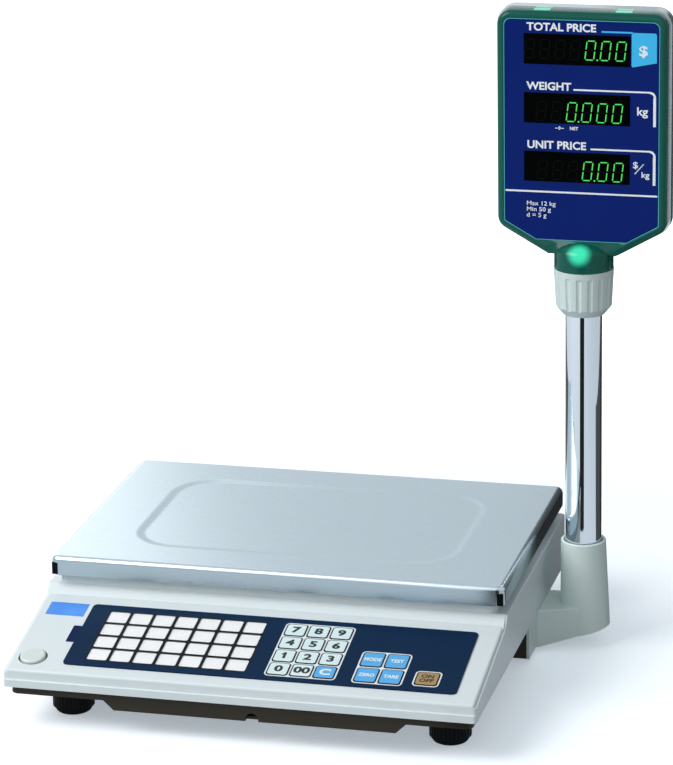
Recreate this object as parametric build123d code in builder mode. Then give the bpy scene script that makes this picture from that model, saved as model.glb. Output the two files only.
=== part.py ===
from build123d import *
from math import atan, cos, radians, sin, tan
import os

os.makedirs("parts", exist_ok=True)

# Retail price scale: weighing base with a sloped key deck, and a two-sided display on a pole.
# Frame: +X to the right, +Y to the back, +Z up. The origin is the middle of the case, on the table.

# ---------------------------------------------------------------- clearances and walls
shaft_clearance = 0.1
body_clearance = 0.3
seat_clearance = 0.2
case_wall = 2.5
pan_wall = 2.5
board_thickness = 1.6

# ---------------------------------------------------------------- case
case_width = 390.0
case_depth = 373.5
case_bottom = 36.0
case_corner = 2.5
cavity_corner = 1.0
fascia_height = 14.8
deck_round = 2.4
platform_round = 3.0
roof_round = 1.2
deck_run = 113.0
deck_angle = 11.6
shoulder_run = 8.5
shoulder_rise = 7.3
skirt_height = 6.5
skirt_step = 1.5
skirt_round = 0.6
ledge_drop = 2.8
platform_inset = 9.0
platform_height = 15.2
platform_corner = 8.0

deck_front = -case_depth / 2 + skirt_step
deck_front_z = case_bottom + fascia_height
deck_rear = deck_front + deck_run
deck_rear_z = deck_front_z + deck_run * tan(radians(deck_angle))
roof_front = deck_rear + shoulder_run
roof_z = deck_rear_z + shoulder_rise
roof_rear = case_depth / 2 - skirt_step
platform_top = roof_z + platform_height

# the key deck: local x is X, local y runs up the slope from the front fold, local z is its normal
deck = Plane(
    origin=(0, deck_front, deck_front_z),
    x_dir=(1, 0, 0),
    z_dir=(0, -sin(radians(deck_angle)), cos(radians(deck_angle))),
)

# ---------------------------------------------------------------- weighing tray
tray_width = 384.0
tray_depth = 258.0
tray_x = 1.6
tray_skirt = 16.2
tray_sheet = 1.0
tray_corner = 7.0
tray_fold = 4.5
tray_slot_reach = 6.3
tray_slot_width = 2.2
tray_rise = 9.0
bead_width = 276.0
bead_depth = 172.0
bead_band = 12.0
bead_height = 0.8
bead_slope = 75
bead_corner = 28.0

tray_y = case_depth / 2 - tray_depth / 2
tray_under = platform_top + tray_rise
tray_top = tray_under + tray_sheet
platform_width = tray_width - 2 * (tray_sheet + tray_x + body_clearance) - 2 * platform_inset / 3
platform_rear = case_depth / 2 - tray_sheet - platform_inset / 3
platform_depth = platform_rear - roof_front
platform_y = (platform_rear + roof_front) / 2

# ---------------------------------------------------------------- base pan
pan_drop = 7.0
pan_rim = 14.0
pan_corner = 7.0
well_left_inset = 83.0
well_right_inset = 57.3
well_slope = 8.5
well_depth = 8.0
notch_x = 11.6
notch_radius = 5.4
notch_rise = 1.5
foot_inset_left = 43.0
foot_inset_right = 31.5
foot_inset_y = 49.0
foot_boss_radius = 8.0
foot_boss_height = 19.0

pan_bottom = case_bottom - pan_drop
pan_floor = pan_bottom + pan_wall
pan_width = case_width - 2 * (skirt_step + case_wall + seat_clearance)
pan_depth = case_depth - 2 * (skirt_step + case_wall + seat_clearance)
well_left = -case_width / 2 + well_left_inset
well_right = case_width / 2 - well_right_inset
well_bottom = pan_bottom - well_depth
well_floor = well_bottom + pan_wall
well_inner_left = well_left + well_slope + pan_wall
well_inner_right = well_right - well_slope - pan_wall
foot_left = -case_width / 2 + foot_inset_left
foot_right = case_width / 2 - foot_inset_right
foot_y = case_depth / 2 - foot_inset_y
foot_places = [(foot_left, -foot_y), (foot_right, -foot_y), (foot_left, foot_y), (foot_right, foot_y)]
foot_names = ["front_left", "front_right", "rear_left", "rear_right"]

# ---------------------------------------------------------------- levelling feet
foot_wheel_radius = 17.1
foot_wheel_height = 20.0
foot_up_travel = 3.0
foot_gap = 1.0
foot_stud_radius = 4.0
foot_stud_height = 20.0
foot_knurls = 32
knurl_radius = 0.8
sole_radius = 15.2
sole_foot_radius = 11.5
sole_pin_radius = 4.0
sole_pin_length = 3.0

wheel_top = pan_bottom - foot_up_travel - foot_gap
wheel_bottom = wheel_top - foot_wheel_height
sole_top = wheel_bottom - body_clearance

# ---------------------------------------------------------------- case screws
screw_radius = 2.0
screw_head_radius = 4.0
screw_head_height = 2.4
screw_length = 16.0
boss_radius = 5.0
screw_side_inset = 15.0
screw_end_inset = 14.8
screw_front_left = 45.0
screw_front_right = 23.0
screw_front_inset = 20.0
screw_middle_y = 20.0

screw_side_x = case_width / 2 - screw_side_inset
screw_front_y = screw_front_inset - case_depth / 2
screw_rear_y = case_depth / 2 - screw_end_inset
screw_places = [
    (screw_front_left - case_width / 2, screw_front_y),
    (case_width / 2 - screw_front_right, screw_front_y),
    (-screw_side_x, screw_middle_y),
    (screw_side_x, screw_middle_y),
    (-screw_side_x, screw_rear_y),
    (screw_side_x, screw_rear_y),
]

# ---------------------------------------------------------------- load cell and tray carrier
cell_length = 130.0
cell_breadth = 30.0
cell_height = 22.0
cell_hole_radius = 8.5
cell_hole_pitch = 24.0
cell_spacer = 7.5
cell_foot = 34.0
cell_screw_radius = 3.0
cell_screw_head = 5.0
cell_screw_pitch = 18.0
cell_travel = 0.6
carrier_spacer = 4.0
carrier_thickness = 5.0
carrier_bar = 16.0
post_span_width = 240.0
post_span_depth = 150.0
post_radius = 8.0
post_hole_radius = 10.5
buffer_radius = 11.0
buffer_height = 6.0
buffer_round = 1.0
stop_radius = 4.0
stop_inset = 5.0

cell_bottom = well_floor + cell_spacer
cell_top = cell_bottom + cell_height
carrier_under = cell_top + carrier_spacer
carrier_top = carrier_under + carrier_thickness
post_top = tray_under - buffer_height
stop_top = carrier_under - cell_travel - body_clearance
stop_span = -2 * (well_inner_left + stop_inset)

# ---------------------------------------------------------------- keypad
panel_left_inset = 46.3
panel_right_inset = 19.0
panel_low = 12.5
panel_high = 102.5
panel_corner = 4.0
panel_thickness = 1.1
pocket_height = 0.5
preset_columns = 7
preset_rows = 4
preset_pitch_x = 19.3
preset_pitch_y = 18.6
preset_y = 57.3
sheet_thickness = 0.3
sheet_margin = 4.0
sheet_lift = 0.1
tab_length = 7.5
tab_width = 25.0
key_lift = 0.4
key_travel = 0.5
key_foot = 0.1
key_gap = 0.3
key_corner = 2.4
pad_pitch = 19.1
pad_key = 17.4
pad_y = 56.8
function_pitch_x = 20.0
function_pitch_y = 22.4
function_key_x = 18.2
function_key_y = 20.4
function_y = 40.1
power_key = 18.6
power_y = 30.2
preset_share = 0.222
pad_share = 0.212
function_share = 0.194
power_share = 0.133
circuit_margin = 6.0
window_margin = 1.0
dome_radius = 4.5
dome_gap = 0.05

panel_left = -case_width / 2 + panel_left_inset
panel_right = case_width / 2 - panel_right_inset
panel_width = panel_right - panel_left
panel_depth = panel_high - panel_low
panel_x = (panel_right + panel_left) / 2
panel_y = (panel_high + panel_low) / 2
preset_width = preset_columns * preset_pitch_x
preset_depth = preset_rows * preset_pitch_y
# what the key groups leave of the panel's width is shared out between them
panel_spare = panel_width - preset_width - 3 * pad_pitch - 2 * function_pitch_x - power_key
preset_x = panel_left + preset_share * panel_spare + preset_width / 2
pad_left = preset_x + preset_width / 2 + pad_share * panel_spare
pad_x = pad_left + 1.5 * pad_pitch
function_x = pad_left + 3 * pad_pitch + function_share * panel_spare + function_pitch_x
power_x = function_x + function_pitch_x + power_share * panel_spare + power_key / 2
key_top = panel_thickness + key_lift
window_left = pad_left
window_right = power_x + power_key / 2 + window_margin
window_low = pad_y - 2 * pad_pitch
window_high = pad_y + 2 * pad_pitch
window_width = window_right - window_left
window_depth = window_high - window_low
window_x = (window_left + window_right) / 2
window_y = (window_low + window_high) / 2
circuit_top = -case_wall
dome_top = key_foot - key_travel - dome_gap

# ---------------------------------------------------------------- spirit level and badge
level_inset = 19.2
level_y = 20.5
level_radius = 12.0
level_groove = 1.2
level_wall = 1.2
vial_depth = 9.0
vial_rise = 2.2
vial_round = 1.6
badge_inset = 25.7
badge_y = 93.5
badge_width = 32.6
badge_height = 19.0
badge_thickness = 0.6

level_x = -case_width / 2 + level_inset
badge_x = -case_width / 2 + badge_inset
cup_radius = level_radius - seat_clearance
vial_radius = cup_radius - level_wall - seat_clearance / 2

# ---------------------------------------------------------------- pole and its bracket
pole_side = 33.0
pole_rear = 92.95
pole_radius = 15.2
pole_wall = 1.5
pole_foot = 42.0
pole_top = 344.0
socket_top = 93.0
socket_top_radius = 19.0
socket_bottom = 5.0
socket_bottom_radius = 21.4
socket_lean = 1.9
socket_mouth_radius = 16.8
socket_mouth_depth = 6.0
socket_round = 0.9
arm_wall = 3.5
arm_bottom = 4.5
arm_rise = 13.5
arm_length = 45.0
arm_ledge = 1.5
arm_front_root = 32.5
arm_front_tip = 20.3
arm_round = 1.0
arm_rear = 19.0
cheek_length = 28.0
mount_gap = 0.4
bracket_screw_radius = 2.5
bracket_screw_head = 4.5
bracket_screw_inset = 10.0
bracket_pocket = 6.0
bracket_nut_radius = 4.5
bracket_nut_height = 3.2

pole_x = case_width / 2 + pole_side
pole_y = case_depth / 2 - pole_rear
bracket_bore = pole_radius + shaft_clearance
arm_under = case_bottom - body_clearance
arm_top = case_bottom + arm_ledge
arm_inner = case_width / 2 - arm_length
arm_edge = case_width / 2 + body_clearance
cheek_left = pan_width / 2 + body_clearance
cheek_right = case_width / 2 - skirt_step
arm_front_y = pole_y - arm_front_root
arm_screw_front = arm_front_y + bracket_screw_inset + 2 * body_clearance
arm_screw_rear = pole_y + arm_rear - bracket_screw_inset
bracket_screws_at = [
    (arm_inner + bracket_screw_inset, arm_screw_front),
    (arm_inner + bracket_screw_inset, arm_screw_rear),
    (pan_width / 2 - bracket_screw_inset, arm_screw_front),
    (pan_width / 2 - bracket_screw_inset, arm_screw_rear),
]

# ---------------------------------------------------------------- display head
head_half_width = 70.2
head_top = 547.0
head_side_low = 368.0
head_low = 344.0
head_low_half = 28.0
head_corner = 12.0
head_front_depth = 13.0
head_rear_depth = 17.0
head_wall = 2.5
head_round = 4.5
head_rim = 1.6
neck_radius = 24.5
neck_bottom = 331.5
neck_shoulder = 347.0
neck_crown = 362.0
overlay_inset = 6.6
overlay_thickness = 1.2
overlay_low = 357.0
glass_x = -3.6
glass_width = 87.6
glass_height = 25.3
glass_pitch = 48.9
glass_top_z = 516.3
collet_thread_radius = 20.0
collet_lip = 2.0
collet_eye = 10.0
nut_height = 39.0
nut_radius = 24.9
nut_low_radius = 23.3
nut_foot_radius = 17.5
nut_chamfer = 7.0
nut_flutes = 16
flute_radius = 3.0
flute_depth = 1.1
nut_band = 5.0
nut_ledge = 5.0

head_plane = Plane(origin=(pole_x, pole_y, 0), x_dir=(1, 0, 0), z_dir=(0, -1, 0))
nut_top = neck_bottom - body_clearance
nut_bottom = nut_top - nut_height
glass_places = [(glass_x, glass_top_z - row * glass_pitch) for row in range(3)]

# ---------------------------------------------------------------- electronics and cable
main_board_width = 110.0
main_board_depth = 70.0
main_board_gap = 15.0
standoff_height = 16.5
standoff_radius = 3.0
standoff_inset = 4.0
plug_size = 12.0
chip_size = 18.0
chip_shift = 20.0
capacitor_width = 10.0
capacitor_length = 20.0
capacitor_shift = 15.0
board_part_height = 7.0
inlet_inset = 95.0
inlet_z = 60.0
inlet_width = 28.0
inlet_height = 20.0
inlet_depth = 22.0
inlet_flange = 3.5
inlet_wall = 2.0
inlet_floor = 4.0
pin_pitch = 7.0
pin_stagger = 3.0
pin_width = 2.0
pin_depth = 4.0
pin_length = 12.0
battery_length = 97.0
battery_breadth = 52.0
battery_height = 24.0
battery_corner = 2.0
transformer_length = 50.0
transformer_breadth = 56.0
transformer_height = 34.0
part_gap = 3.0
cable_radius = 2.2
cable_low_z = 18.0
cable_run_z = 46.0
cable_entry = 60.0
cable_aisle = 12.7
connector_size = 10.0
board_post_radius = 4.0
display_board_width = 120.0
display_board_low = 379.0
display_board_high = 540.0
cable_top = 352.0
board_post_inset = 6.0
board_post_low = 7.0
board_post_high = 4.0

inlet_x = inlet_inset - case_width / 2
main_board_z = well_floor + standoff_height
standoff_span_x = main_board_width - 2 * standoff_inset
standoff_span_y = main_board_depth - 2 * standoff_inset
main_board_y = pan_wall + main_board_gap + main_board_depth / 2 - pan_depth / 2
battery_x = well_inner_left + part_gap + battery_length / 2
battery_y = tray_y + cell_breadth / 2 + part_gap + battery_breadth / 2
transformer_x = well_inner_left + part_gap + transformer_length / 2
transformer_y = tray_y - (post_span_depth + carrier_bar + transformer_breadth) / 2 - part_gap
main_board_x = transformer_x + transformer_length / 2 + part_gap + main_board_width / 2
cable_entry_x = pole_x - cable_entry
cable_aisle_x = well_right - cable_aisle


def save(piece, name):
    piece.part.label = name
    export_step(piece.part, "parts/" + name + ".step")


# ================================================================ upper case
body_width = case_width - 2 * skirt_step
body_profile = [
    (deck_front, case_bottom),
    (deck_front, deck_front_z),
    (deck_rear, deck_rear_z),
    (roof_front, roof_z),
    (roof_rear, roof_z),
    (roof_rear, case_bottom),
]
side_profile = [
    (deck_front, case_bottom),
    (deck_front, deck_front_z - ledge_drop),
    (deck_rear, deck_rear_z - ledge_drop),
    (roof_front, roof_z),
    (roof_rear, roof_z),
    (roof_rear, case_bottom),
]

with BuildPart() as case_cavity:
    with BuildSketch(Plane.YZ.offset(-body_width / 2 + case_wall)):
        with BuildLine():
            Polyline(*body_profile, close=True)
        make_face()
        offset(amount=-case_wall, kind=Kind.INTERSECTION)
    extrude(amount=body_width - 2 * case_wall)
    with BuildSketch(Plane.XY.offset(case_bottom)):
        RectangleRounded(
            body_width - 2 * case_wall,
            case_depth - 2 * skirt_step - 2 * case_wall,
            cavity_corner,
        )
    extrude(amount=2 * case_wall)
    with BuildSketch(Plane.XY.offset(roof_z - 2 * case_wall)):
        with Locations((0, platform_y)):
            RectangleRounded(
                platform_width - 2 * case_wall,
                platform_depth - 2 * case_wall,
                platform_corner - case_wall,
            )
    extrude(amount=platform_height + case_wall)

# side walls: flush with the roof, and a ledge below the edge of the key deck
with BuildPart() as side_walls:
    with BuildSketch(Plane.YZ.offset(-case_width / 2)):
        with BuildLine():
            Polyline(*side_profile, close=True)
        make_face()
    extrude(amount=case_width)
    fillet(side_walls.edges().filter_by(Axis.Z), case_corner)
    fillet(side_walls.faces().sort_by(Axis.Z)[-1].edges(), roof_round)

with BuildPart() as case_skirt:
    with BuildSketch(Plane.XY.offset(case_bottom)):
        RectangleRounded(case_width, case_depth, case_corner)
    extrude(amount=skirt_height)
    fillet(case_skirt.faces().sort_by(Axis.Z)[-1].edges(), skirt_round)

with BuildPart() as upper_case:
    with BuildSketch(Plane.YZ.offset(-body_width / 2)):
        with BuildLine():
            Polyline(*body_profile, close=True)
        make_face()
    extrude(amount=body_width)
    fillet(upper_case.edges().filter_by(Axis.Z), case_corner)
    deck_faces = upper_case.faces().filter_by(Axis(deck.origin, deck.z_dir))
    fillet(deck_faces.edges().sort_by(Axis.Y)[:-1], deck_round)
    add(side_walls.part)
    add(case_skirt.part)
    with BuildSketch(Plane.XY.offset(roof_z)):
        with Locations((0, platform_y)):
            RectangleRounded(platform_width, platform_depth, platform_corner)
    extrude(amount=platform_height)
    fillet(upper_case.faces().sort_by(Axis.Z)[-1].edges(), platform_round)
    add(case_cavity.part, mode=Mode.SUBTRACT)
    # screw bosses hang from the roof down to the pan
    with BuildSketch(Plane.XY.offset(pan_floor)):
        with Locations(*screw_places):
            Circle(boss_radius)
    extrude(until=Until.NEXT)
    with BuildSketch(Plane.XY.offset(pan_floor)):
        with Locations(*screw_places):
            Circle(screw_radius + shaft_clearance)
    extrude(amount=screw_length, mode=Mode.SUBTRACT)
    # holes for the tray posts
    with BuildSketch(Plane.XY.offset(platform_top - 2 * case_wall)):
        with Locations((0, tray_y)):
            with GridLocations(post_span_width, post_span_depth, 2, 2):
                Circle(post_hole_radius)
    extrude(amount=4 * case_wall, mode=Mode.SUBTRACT)
    # window under the keys, level recess and badge recess in the key deck
    with BuildSketch(deck.offset(-2 * case_wall)):
        with Locations((window_x, window_y)):
            RectangleRounded(window_width, window_depth, key_corner)
        with Locations((level_x, level_y)):
            Circle(level_radius)
    extrude(amount=4 * case_wall, mode=Mode.SUBTRACT)
    with BuildSketch(deck.offset(-badge_thickness)):
        with Locations((badge_x, badge_y)):
            Rectangle(badge_width + 2 * seat_clearance, badge_height + 2 * seat_clearance)
    extrude(amount=2 * case_wall, mode=Mode.SUBTRACT)
    # mains inlet opening in the rear wall
    with BuildSketch(Plane.XZ.offset(-case_depth / 2 - case_wall)):
        with Locations((inlet_x, inlet_z)):
            Rectangle(inlet_width + 2 * seat_clearance, inlet_height + 2 * seat_clearance)
    extrude(amount=4 * case_wall, mode=Mode.SUBTRACT)
save(upper_case, "upper_case")

# ================================================================ base pan
with BuildPart() as base_pan:
    with BuildSketch(Plane.XY.offset(pan_bottom)):
        RectangleRounded(pan_width, pan_depth, pan_corner)
    extrude(amount=pan_rim)
    with BuildSketch(Plane.XY.offset(pan_floor)):
        RectangleRounded(pan_width - 2 * pan_wall, pan_depth - 2 * pan_wall, pan_corner - pan_wall)
    extrude(amount=pan_rim, mode=Mode.SUBTRACT)
    # the deeper well across the middle, with sloping ends
    with BuildSketch(Plane.XZ.offset(-pan_depth / 2)):
        with BuildLine():
            Polyline(
                (well_left, pan_bottom),
                (well_left + well_slope, well_bottom),
                (well_right - well_slope, well_bottom),
                (well_right, pan_bottom),
                close=True,
            )
        make_face()
    extrude(amount=pan_depth)
    with BuildSketch(Plane.XZ.offset(pan_wall - pan_depth / 2)):
        with BuildLine():
            Polyline(
                (well_left + pan_wall, pan_floor),
                (well_inner_left, well_floor),
                (well_inner_right, well_floor),
                (well_right - pan_wall, pan_floor),
                close=True,
            )
        make_face()
    extrude(amount=pan_depth - 2 * pan_wall, mode=Mode.SUBTRACT)
    # round-topped notch in the well's front wall
    with BuildSketch(Plane.XZ.offset(pan_depth / 2 - 2 * pan_wall)):
        with Locations((notch_x, well_bottom + notch_rise)):
            Circle(notch_radius)
        with Locations((notch_x, well_bottom)):
            Rectangle(2 * notch_radius, 2 * notch_rise)
    extrude(amount=3 * pan_wall, mode=Mode.SUBTRACT)
    # block that the pole bracket is set against
    with BuildSketch(Plane.XY.offset(arm_bottom)):
        with Locations(((arm_inner + pan_width / 2) / 2, arm_front_y - mount_gap - cheek_length / 2)):
            Rectangle(pan_width / 2 - arm_inner, cheek_length - mount_gap)
    extrude(amount=pan_bottom - arm_bottom)
    # threaded bosses for the feet
    with BuildSketch(Plane.XY.offset(pan_bottom)):
        with Locations(*foot_places):
            Circle(foot_boss_radius)
    extrude(amount=foot_boss_height)
    with BuildSketch(Plane.XY.offset(pan_bottom)):
        with Locations(*foot_places):
            Circle(foot_stud_radius + shaft_clearance)
    extrude(amount=foot_boss_height, mode=Mode.SUBTRACT)
    # clearance holes for the case screws and the display cable
    with BuildSketch(Plane.XY.offset(pan_bottom)):
        with Locations(*screw_places):
            Circle(screw_radius + shaft_clearance)
        with Locations(*bracket_screws_at):
            Circle(bracket_screw_radius + shaft_clearance)
        with Locations((cable_entry_x, pole_y)):
            Circle(2 * cable_radius)
    extrude(amount=pan_wall, mode=Mode.SUBTRACT)
save(base_pan, "base_pan")

with BuildPart() as case_screws:
    with BuildSketch(Plane.XY.offset(pan_bottom - screw_head_height)):
        with Locations(*screw_places):
            Circle(screw_head_radius)
    extrude(amount=screw_head_height)
    with BuildSketch(Plane.XY.offset(pan_bottom)):
        with Locations(*screw_places):
            Circle(screw_radius)
    extrude(amount=screw_length)
save(case_screws, "case_screws")

# ================================================================ levelling feet
for (x, y), name in zip(foot_places, foot_names):
    with BuildPart() as foot_wheel:
        with BuildSketch(Plane.XY.offset(wheel_bottom)):
            with Locations((x, y)):
                Circle(foot_wheel_radius)
        extrude(amount=foot_wheel_height)
        with BuildSketch(Plane.XY.offset(wheel_bottom)):
            with Locations((x, y)):
                with PolarLocations(foot_wheel_radius, foot_knurls):
                    Circle(knurl_radius)
        extrude(amount=foot_wheel_height, mode=Mode.SUBTRACT)
        with BuildSketch(Plane.XY.offset(wheel_top)):
            with Locations((x, y)):
                Circle(foot_stud_radius)
        extrude(amount=foot_stud_height)
        with BuildSketch(Plane.XY.offset(wheel_bottom)):
            with Locations((x, y)):
                Circle(sole_pin_radius)
        extrude(amount=-sole_pin_length)
    save(foot_wheel, "foot_wheel_" + name)
    with BuildPart() as foot_sole:
        with BuildSketch(Plane(origin=(x, y, 0), x_dir=(1, 0, 0), z_dir=(0, -1, 0))):
            with BuildLine():
                Polyline((0, 0), (sole_foot_radius, 0))
                ThreePointArc(
                    (sole_foot_radius, 0),
                    (
                        sole_foot_radius + (sole_radius - sole_foot_radius) * sin(radians(45)),
                        (sole_radius - sole_foot_radius) * (1 - cos(radians(45))),
                    ),
                    (sole_radius, sole_radius - sole_foot_radius),
                )
                Polyline(
                    (sole_radius, sole_radius - sole_foot_radius),
                    (sole_radius, sole_top),
                    (0, sole_top),
                    (0, 0),
                )
            make_face()
        revolve(axis=Axis((x, y, 0), (0, 0, 1)))
        with BuildSketch(Plane.XY.offset(wheel_bottom - sole_pin_length - body_clearance)):
            with Locations((x, y)):
                Circle(sole_pin_radius + shaft_clearance)
        extrude(amount=sole_pin_length + body_clearance, mode=Mode.SUBTRACT)
    save(foot_sole, "foot_sole_" + name)

# ================================================================ load cell, carrier and tray
cell_place = (0, tray_y)
cell_fixed_x = -cell_length / 2 + cell_foot / 2
cell_free_x = cell_length / 2 - cell_foot / 2
fixed_screws = [(cell_fixed_x - cell_screw_pitch / 2, tray_y), (cell_fixed_x + cell_screw_pitch / 2, tray_y)]
free_screws = [(cell_free_x - cell_screw_pitch / 2, tray_y), (cell_free_x + cell_screw_pitch / 2, tray_y)]

with BuildPart() as load_cell_spacer:
    with BuildSketch(Plane.XY.offset(well_floor)):
        with Locations((cell_fixed_x, tray_y)):
            Rectangle(cell_foot, cell_breadth)
    extrude(amount=cell_spacer)
    with BuildSketch(Plane.XY.offset(well_floor)):
        with Locations(*fixed_screws):
            Circle(cell_screw_radius + shaft_clearance)
    extrude(amount=cell_spacer, mode=Mode.SUBTRACT)
save(load_cell_spacer, "load_cell_spacer")

with BuildPart() as load_cell:
    with BuildSketch(Plane.XY.offset(cell_bottom)):
        with Locations(cell_place):
            Rectangle(cell_length, cell_breadth)
    extrude(amount=cell_height)
    with BuildSketch(Plane.XZ.offset(-tray_y - cell_breadth)):
        with Locations((0, cell_bottom + cell_height / 2)):
            with GridLocations(cell_hole_pitch, 1, 2, 1):
                Circle(cell_hole_radius)
            Rectangle(cell_hole_pitch, cell_hole_radius)
    extrude(amount=2 * cell_breadth, mode=Mode.SUBTRACT)
    with BuildSketch(Plane.XY.offset(cell_bottom)):
        with Locations(*fixed_screws):
            Circle(cell_screw_radius + shaft_clearance)
    extrude(amount=cell_height, mode=Mode.SUBTRACT)
    with BuildSketch(Plane.XY.offset(cell_bottom)):
        with Locations(*free_screws):
            Circle(cell_screw_radius + body_clearance)
    extrude(amount=cell_height, mode=Mode.SUBTRACT)
save(load_cell, "load_cell")

with BuildPart() as load_cell_screws:
    with BuildSketch(Plane.XY.offset(well_floor)):
        with Locations(*fixed_screws):
            Circle(cell_screw_radius)
    extrude(amount=cell_spacer + cell_height)
    with BuildSketch(Plane.XY.offset(cell_top)):
        with Locations(*fixed_screws):
            Circle(cell_screw_head)
    extrude(amount=carrier_spacer - body_clearance - cell_travel)
save(load_cell_screws, "load_cell_screws")

with BuildPart() as tray_carrier:
    with BuildSketch(Plane.XY.offset(cell_top + cell_travel + body_clearance)):
        with Locations((cell_free_x, tray_y)):
            Rectangle(cell_foot, cell_breadth)
    extrude(amount=carrier_spacer - cell_travel - body_clearance)
    with BuildSketch(Plane.XY.offset(carrier_under)):
        with Locations((cell_free_x, tray_y)):
            Rectangle(cell_foot, post_span_depth)
        with Locations((0, tray_y)):
            with GridLocations(1, post_span_depth, 1, 2):
                SlotOverall(post_span_width + carrier_bar, carrier_bar)
    extrude(amount=carrier_thickness)
    with BuildSketch(Plane.XY.offset(carrier_top)):
        with Locations((0, tray_y)):
            with GridLocations(post_span_width, post_span_depth, 2, 2):
                Circle(post_radius)
    extrude(amount=post_top - carrier_top)
    with BuildSketch(Plane.XY.offset(cell_top)):
        with Locations(*free_screws):
            Circle(cell_screw_radius + shaft_clearance)
    extrude(amount=carrier_top - cell_top, mode=Mode.SUBTRACT)
save(tray_carrier, "tray_carrier")

with BuildPart() as carrier_screws:
    with BuildSketch(Plane.XY.offset(cell_bottom + 2 * cell_travel)):
        with Locations(*free_screws):
            Circle(cell_screw_radius)
    extrude(amount=carrier_top - cell_bottom - 2 * cell_travel)
    with BuildSketch(Plane.XY.offset(carrier_top)):
        with Locations(*free_screws):
            Circle(cell_screw_head)
    extrude(amount=cell_screw_radius)
save(carrier_screws, "carrier_screws")

with BuildPart() as overload_stops:
    with BuildSketch(Plane.XY.offset(well_floor)):
        with Locations((0, tray_y)):
            with GridLocations(stop_span, post_span_depth, 2, 2):
                Circle(stop_radius)
    extrude(amount=stop_top - well_floor)
save(overload_stops, "overload_stops")

with BuildPart() as tray_buffers:
    with BuildSketch(Plane.XY.offset(post_top)):
        with Locations((0, tray_y)):
            with GridLocations(post_span_width, post_span_depth, 2, 2):
                Circle(buffer_radius)
    extrude(amount=buffer_height)
    fillet(tray_buffers.edges().filter_by(GeomType.CIRCLE), buffer_round)
save(tray_buffers, "tray_buffers")

with BuildPart() as tray_hollow:
    with BuildSketch(Plane.XY.offset(tray_top - tray_skirt)):
        with Locations((tray_x, tray_y)):
            RectangleRounded(
                tray_width - 2 * tray_sheet,
                tray_depth - 2 * tray_sheet,
                tray_corner - tray_sheet,
            )
    extrude(amount=tray_skirt - tray_sheet)
    fillet(tray_hollow.faces().sort_by(Axis.Z)[-1].edges(), tray_fold - tray_sheet)

with BuildPart() as weighing_tray:
    with BuildSketch(Plane.XY.offset(tray_top - tray_skirt)):
        with Locations((tray_x, tray_y)):
            RectangleRounded(tray_width, tray_depth, tray_corner)
    extrude(amount=tray_skirt)
    fillet(weighing_tray.faces().sort_by(Axis.Z)[-1].edges(), tray_fold)
    add(tray_hollow.part, mode=Mode.SUBTRACT)
    # the four skirts are folded separately, so each corner has an open slot
    with BuildSketch(Plane.XY.offset(tray_top - tray_skirt)):
        with Locations((tray_x, tray_y)):
            with GridLocations(tray_width, tray_depth, 2, 2):
                Rectangle(2 * tray_slot_reach, 2 * tray_slot_width)
    extrude(amount=tray_skirt - tray_fold - tray_sheet, mode=Mode.SUBTRACT)
    # raised bead round the middle of the plate
    with BuildSketch(Plane.XY.offset(tray_top)):
        with Locations((tray_x, tray_y)):
            RectangleRounded(bead_width + bead_band, bead_depth + bead_band, bead_corner + bead_band / 2)
            RectangleRounded(
                bead_width - bead_band,
                bead_depth - bead_band,
                bead_corner - bead_band / 2,
                mode=Mode.SUBTRACT,
            )
    extrude(amount=bead_height, taper=bead_slope)
save(weighing_tray, "weighing_tray")

# ================================================================ keypad
sheet_width = preset_width + 2 * sheet_margin
sheet_depth = preset_depth + 2 * sheet_margin
pocket_width = preset_x + sheet_width / 2 + body_clearance - panel_left
pocket_x = panel_left + pocket_width / 2

pad_labels = ["7", "8", "9", "4", "5", "6", "1", "2", "3", "0", "00", "clear"]
key_plan = []
for place, label in enumerate(pad_labels):
    column = place % 3 - 1
    row = 1.5 - place // 3
    key_plan.append(("key_" + label, pad_x + column * pad_pitch, pad_y + row * pad_pitch, pad_key, pad_key))
for place, label in enumerate(["mode", "test", "zero", "tare"]):
    x = function_x + (place % 2 - 0.5) * function_pitch_x
    y = function_y + (0.5 - place // 2) * function_pitch_y
    key_plan.append(("key_" + label, x, y, function_key_x, function_key_y))
key_plan.append(("key_power", power_x, power_y, power_key, power_key))

with BuildPart() as keypad_overlay:
    with BuildSketch(deck):
        with Locations((panel_x, panel_y)):
            RectangleRounded(panel_width, panel_depth, panel_corner)
    extrude(amount=panel_thickness)
    with BuildSketch(deck):
        with Locations((pocket_x - panel_corner, preset_y)):
            Rectangle(pocket_width + 2 * panel_corner, sheet_depth + 2 * body_clearance)
    extrude(amount=pocket_height, mode=Mode.SUBTRACT)
    with BuildSketch(deck):
        with Locations((preset_x, preset_y)):
            RectangleRounded(preset_width, preset_depth, key_corner)
        for label, x, y, size_x, size_y in key_plan:
            with Locations((x, y)):
                RectangleRounded(size_x + 2 * key_gap, size_y + 2 * key_gap, key_corner + key_gap)
    extrude(amount=panel_thickness, mode=Mode.SUBTRACT)
save(keypad_overlay, "keypad_overlay")

with BuildPart() as preset_window:
    with BuildSketch(deck.offset(pocket_height)):
        with Locations((preset_x, preset_y)):
            RectangleRounded(preset_width, preset_depth, key_corner)
    extrude(amount=panel_thickness - pocket_height)
save(preset_window, "preset_window")

with BuildPart() as label_sheet:
    with BuildSketch(deck.offset(sheet_lift)):
        with Locations((preset_x, preset_y)):
            Rectangle(sheet_width, sheet_depth)
        with Locations(((panel_left - tab_length + preset_x) / 2, preset_y)):
            Rectangle(preset_x - panel_left + tab_length, tab_width)
    extrude(amount=sheet_thickness)
save(label_sheet, "label_sheet")

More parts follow.
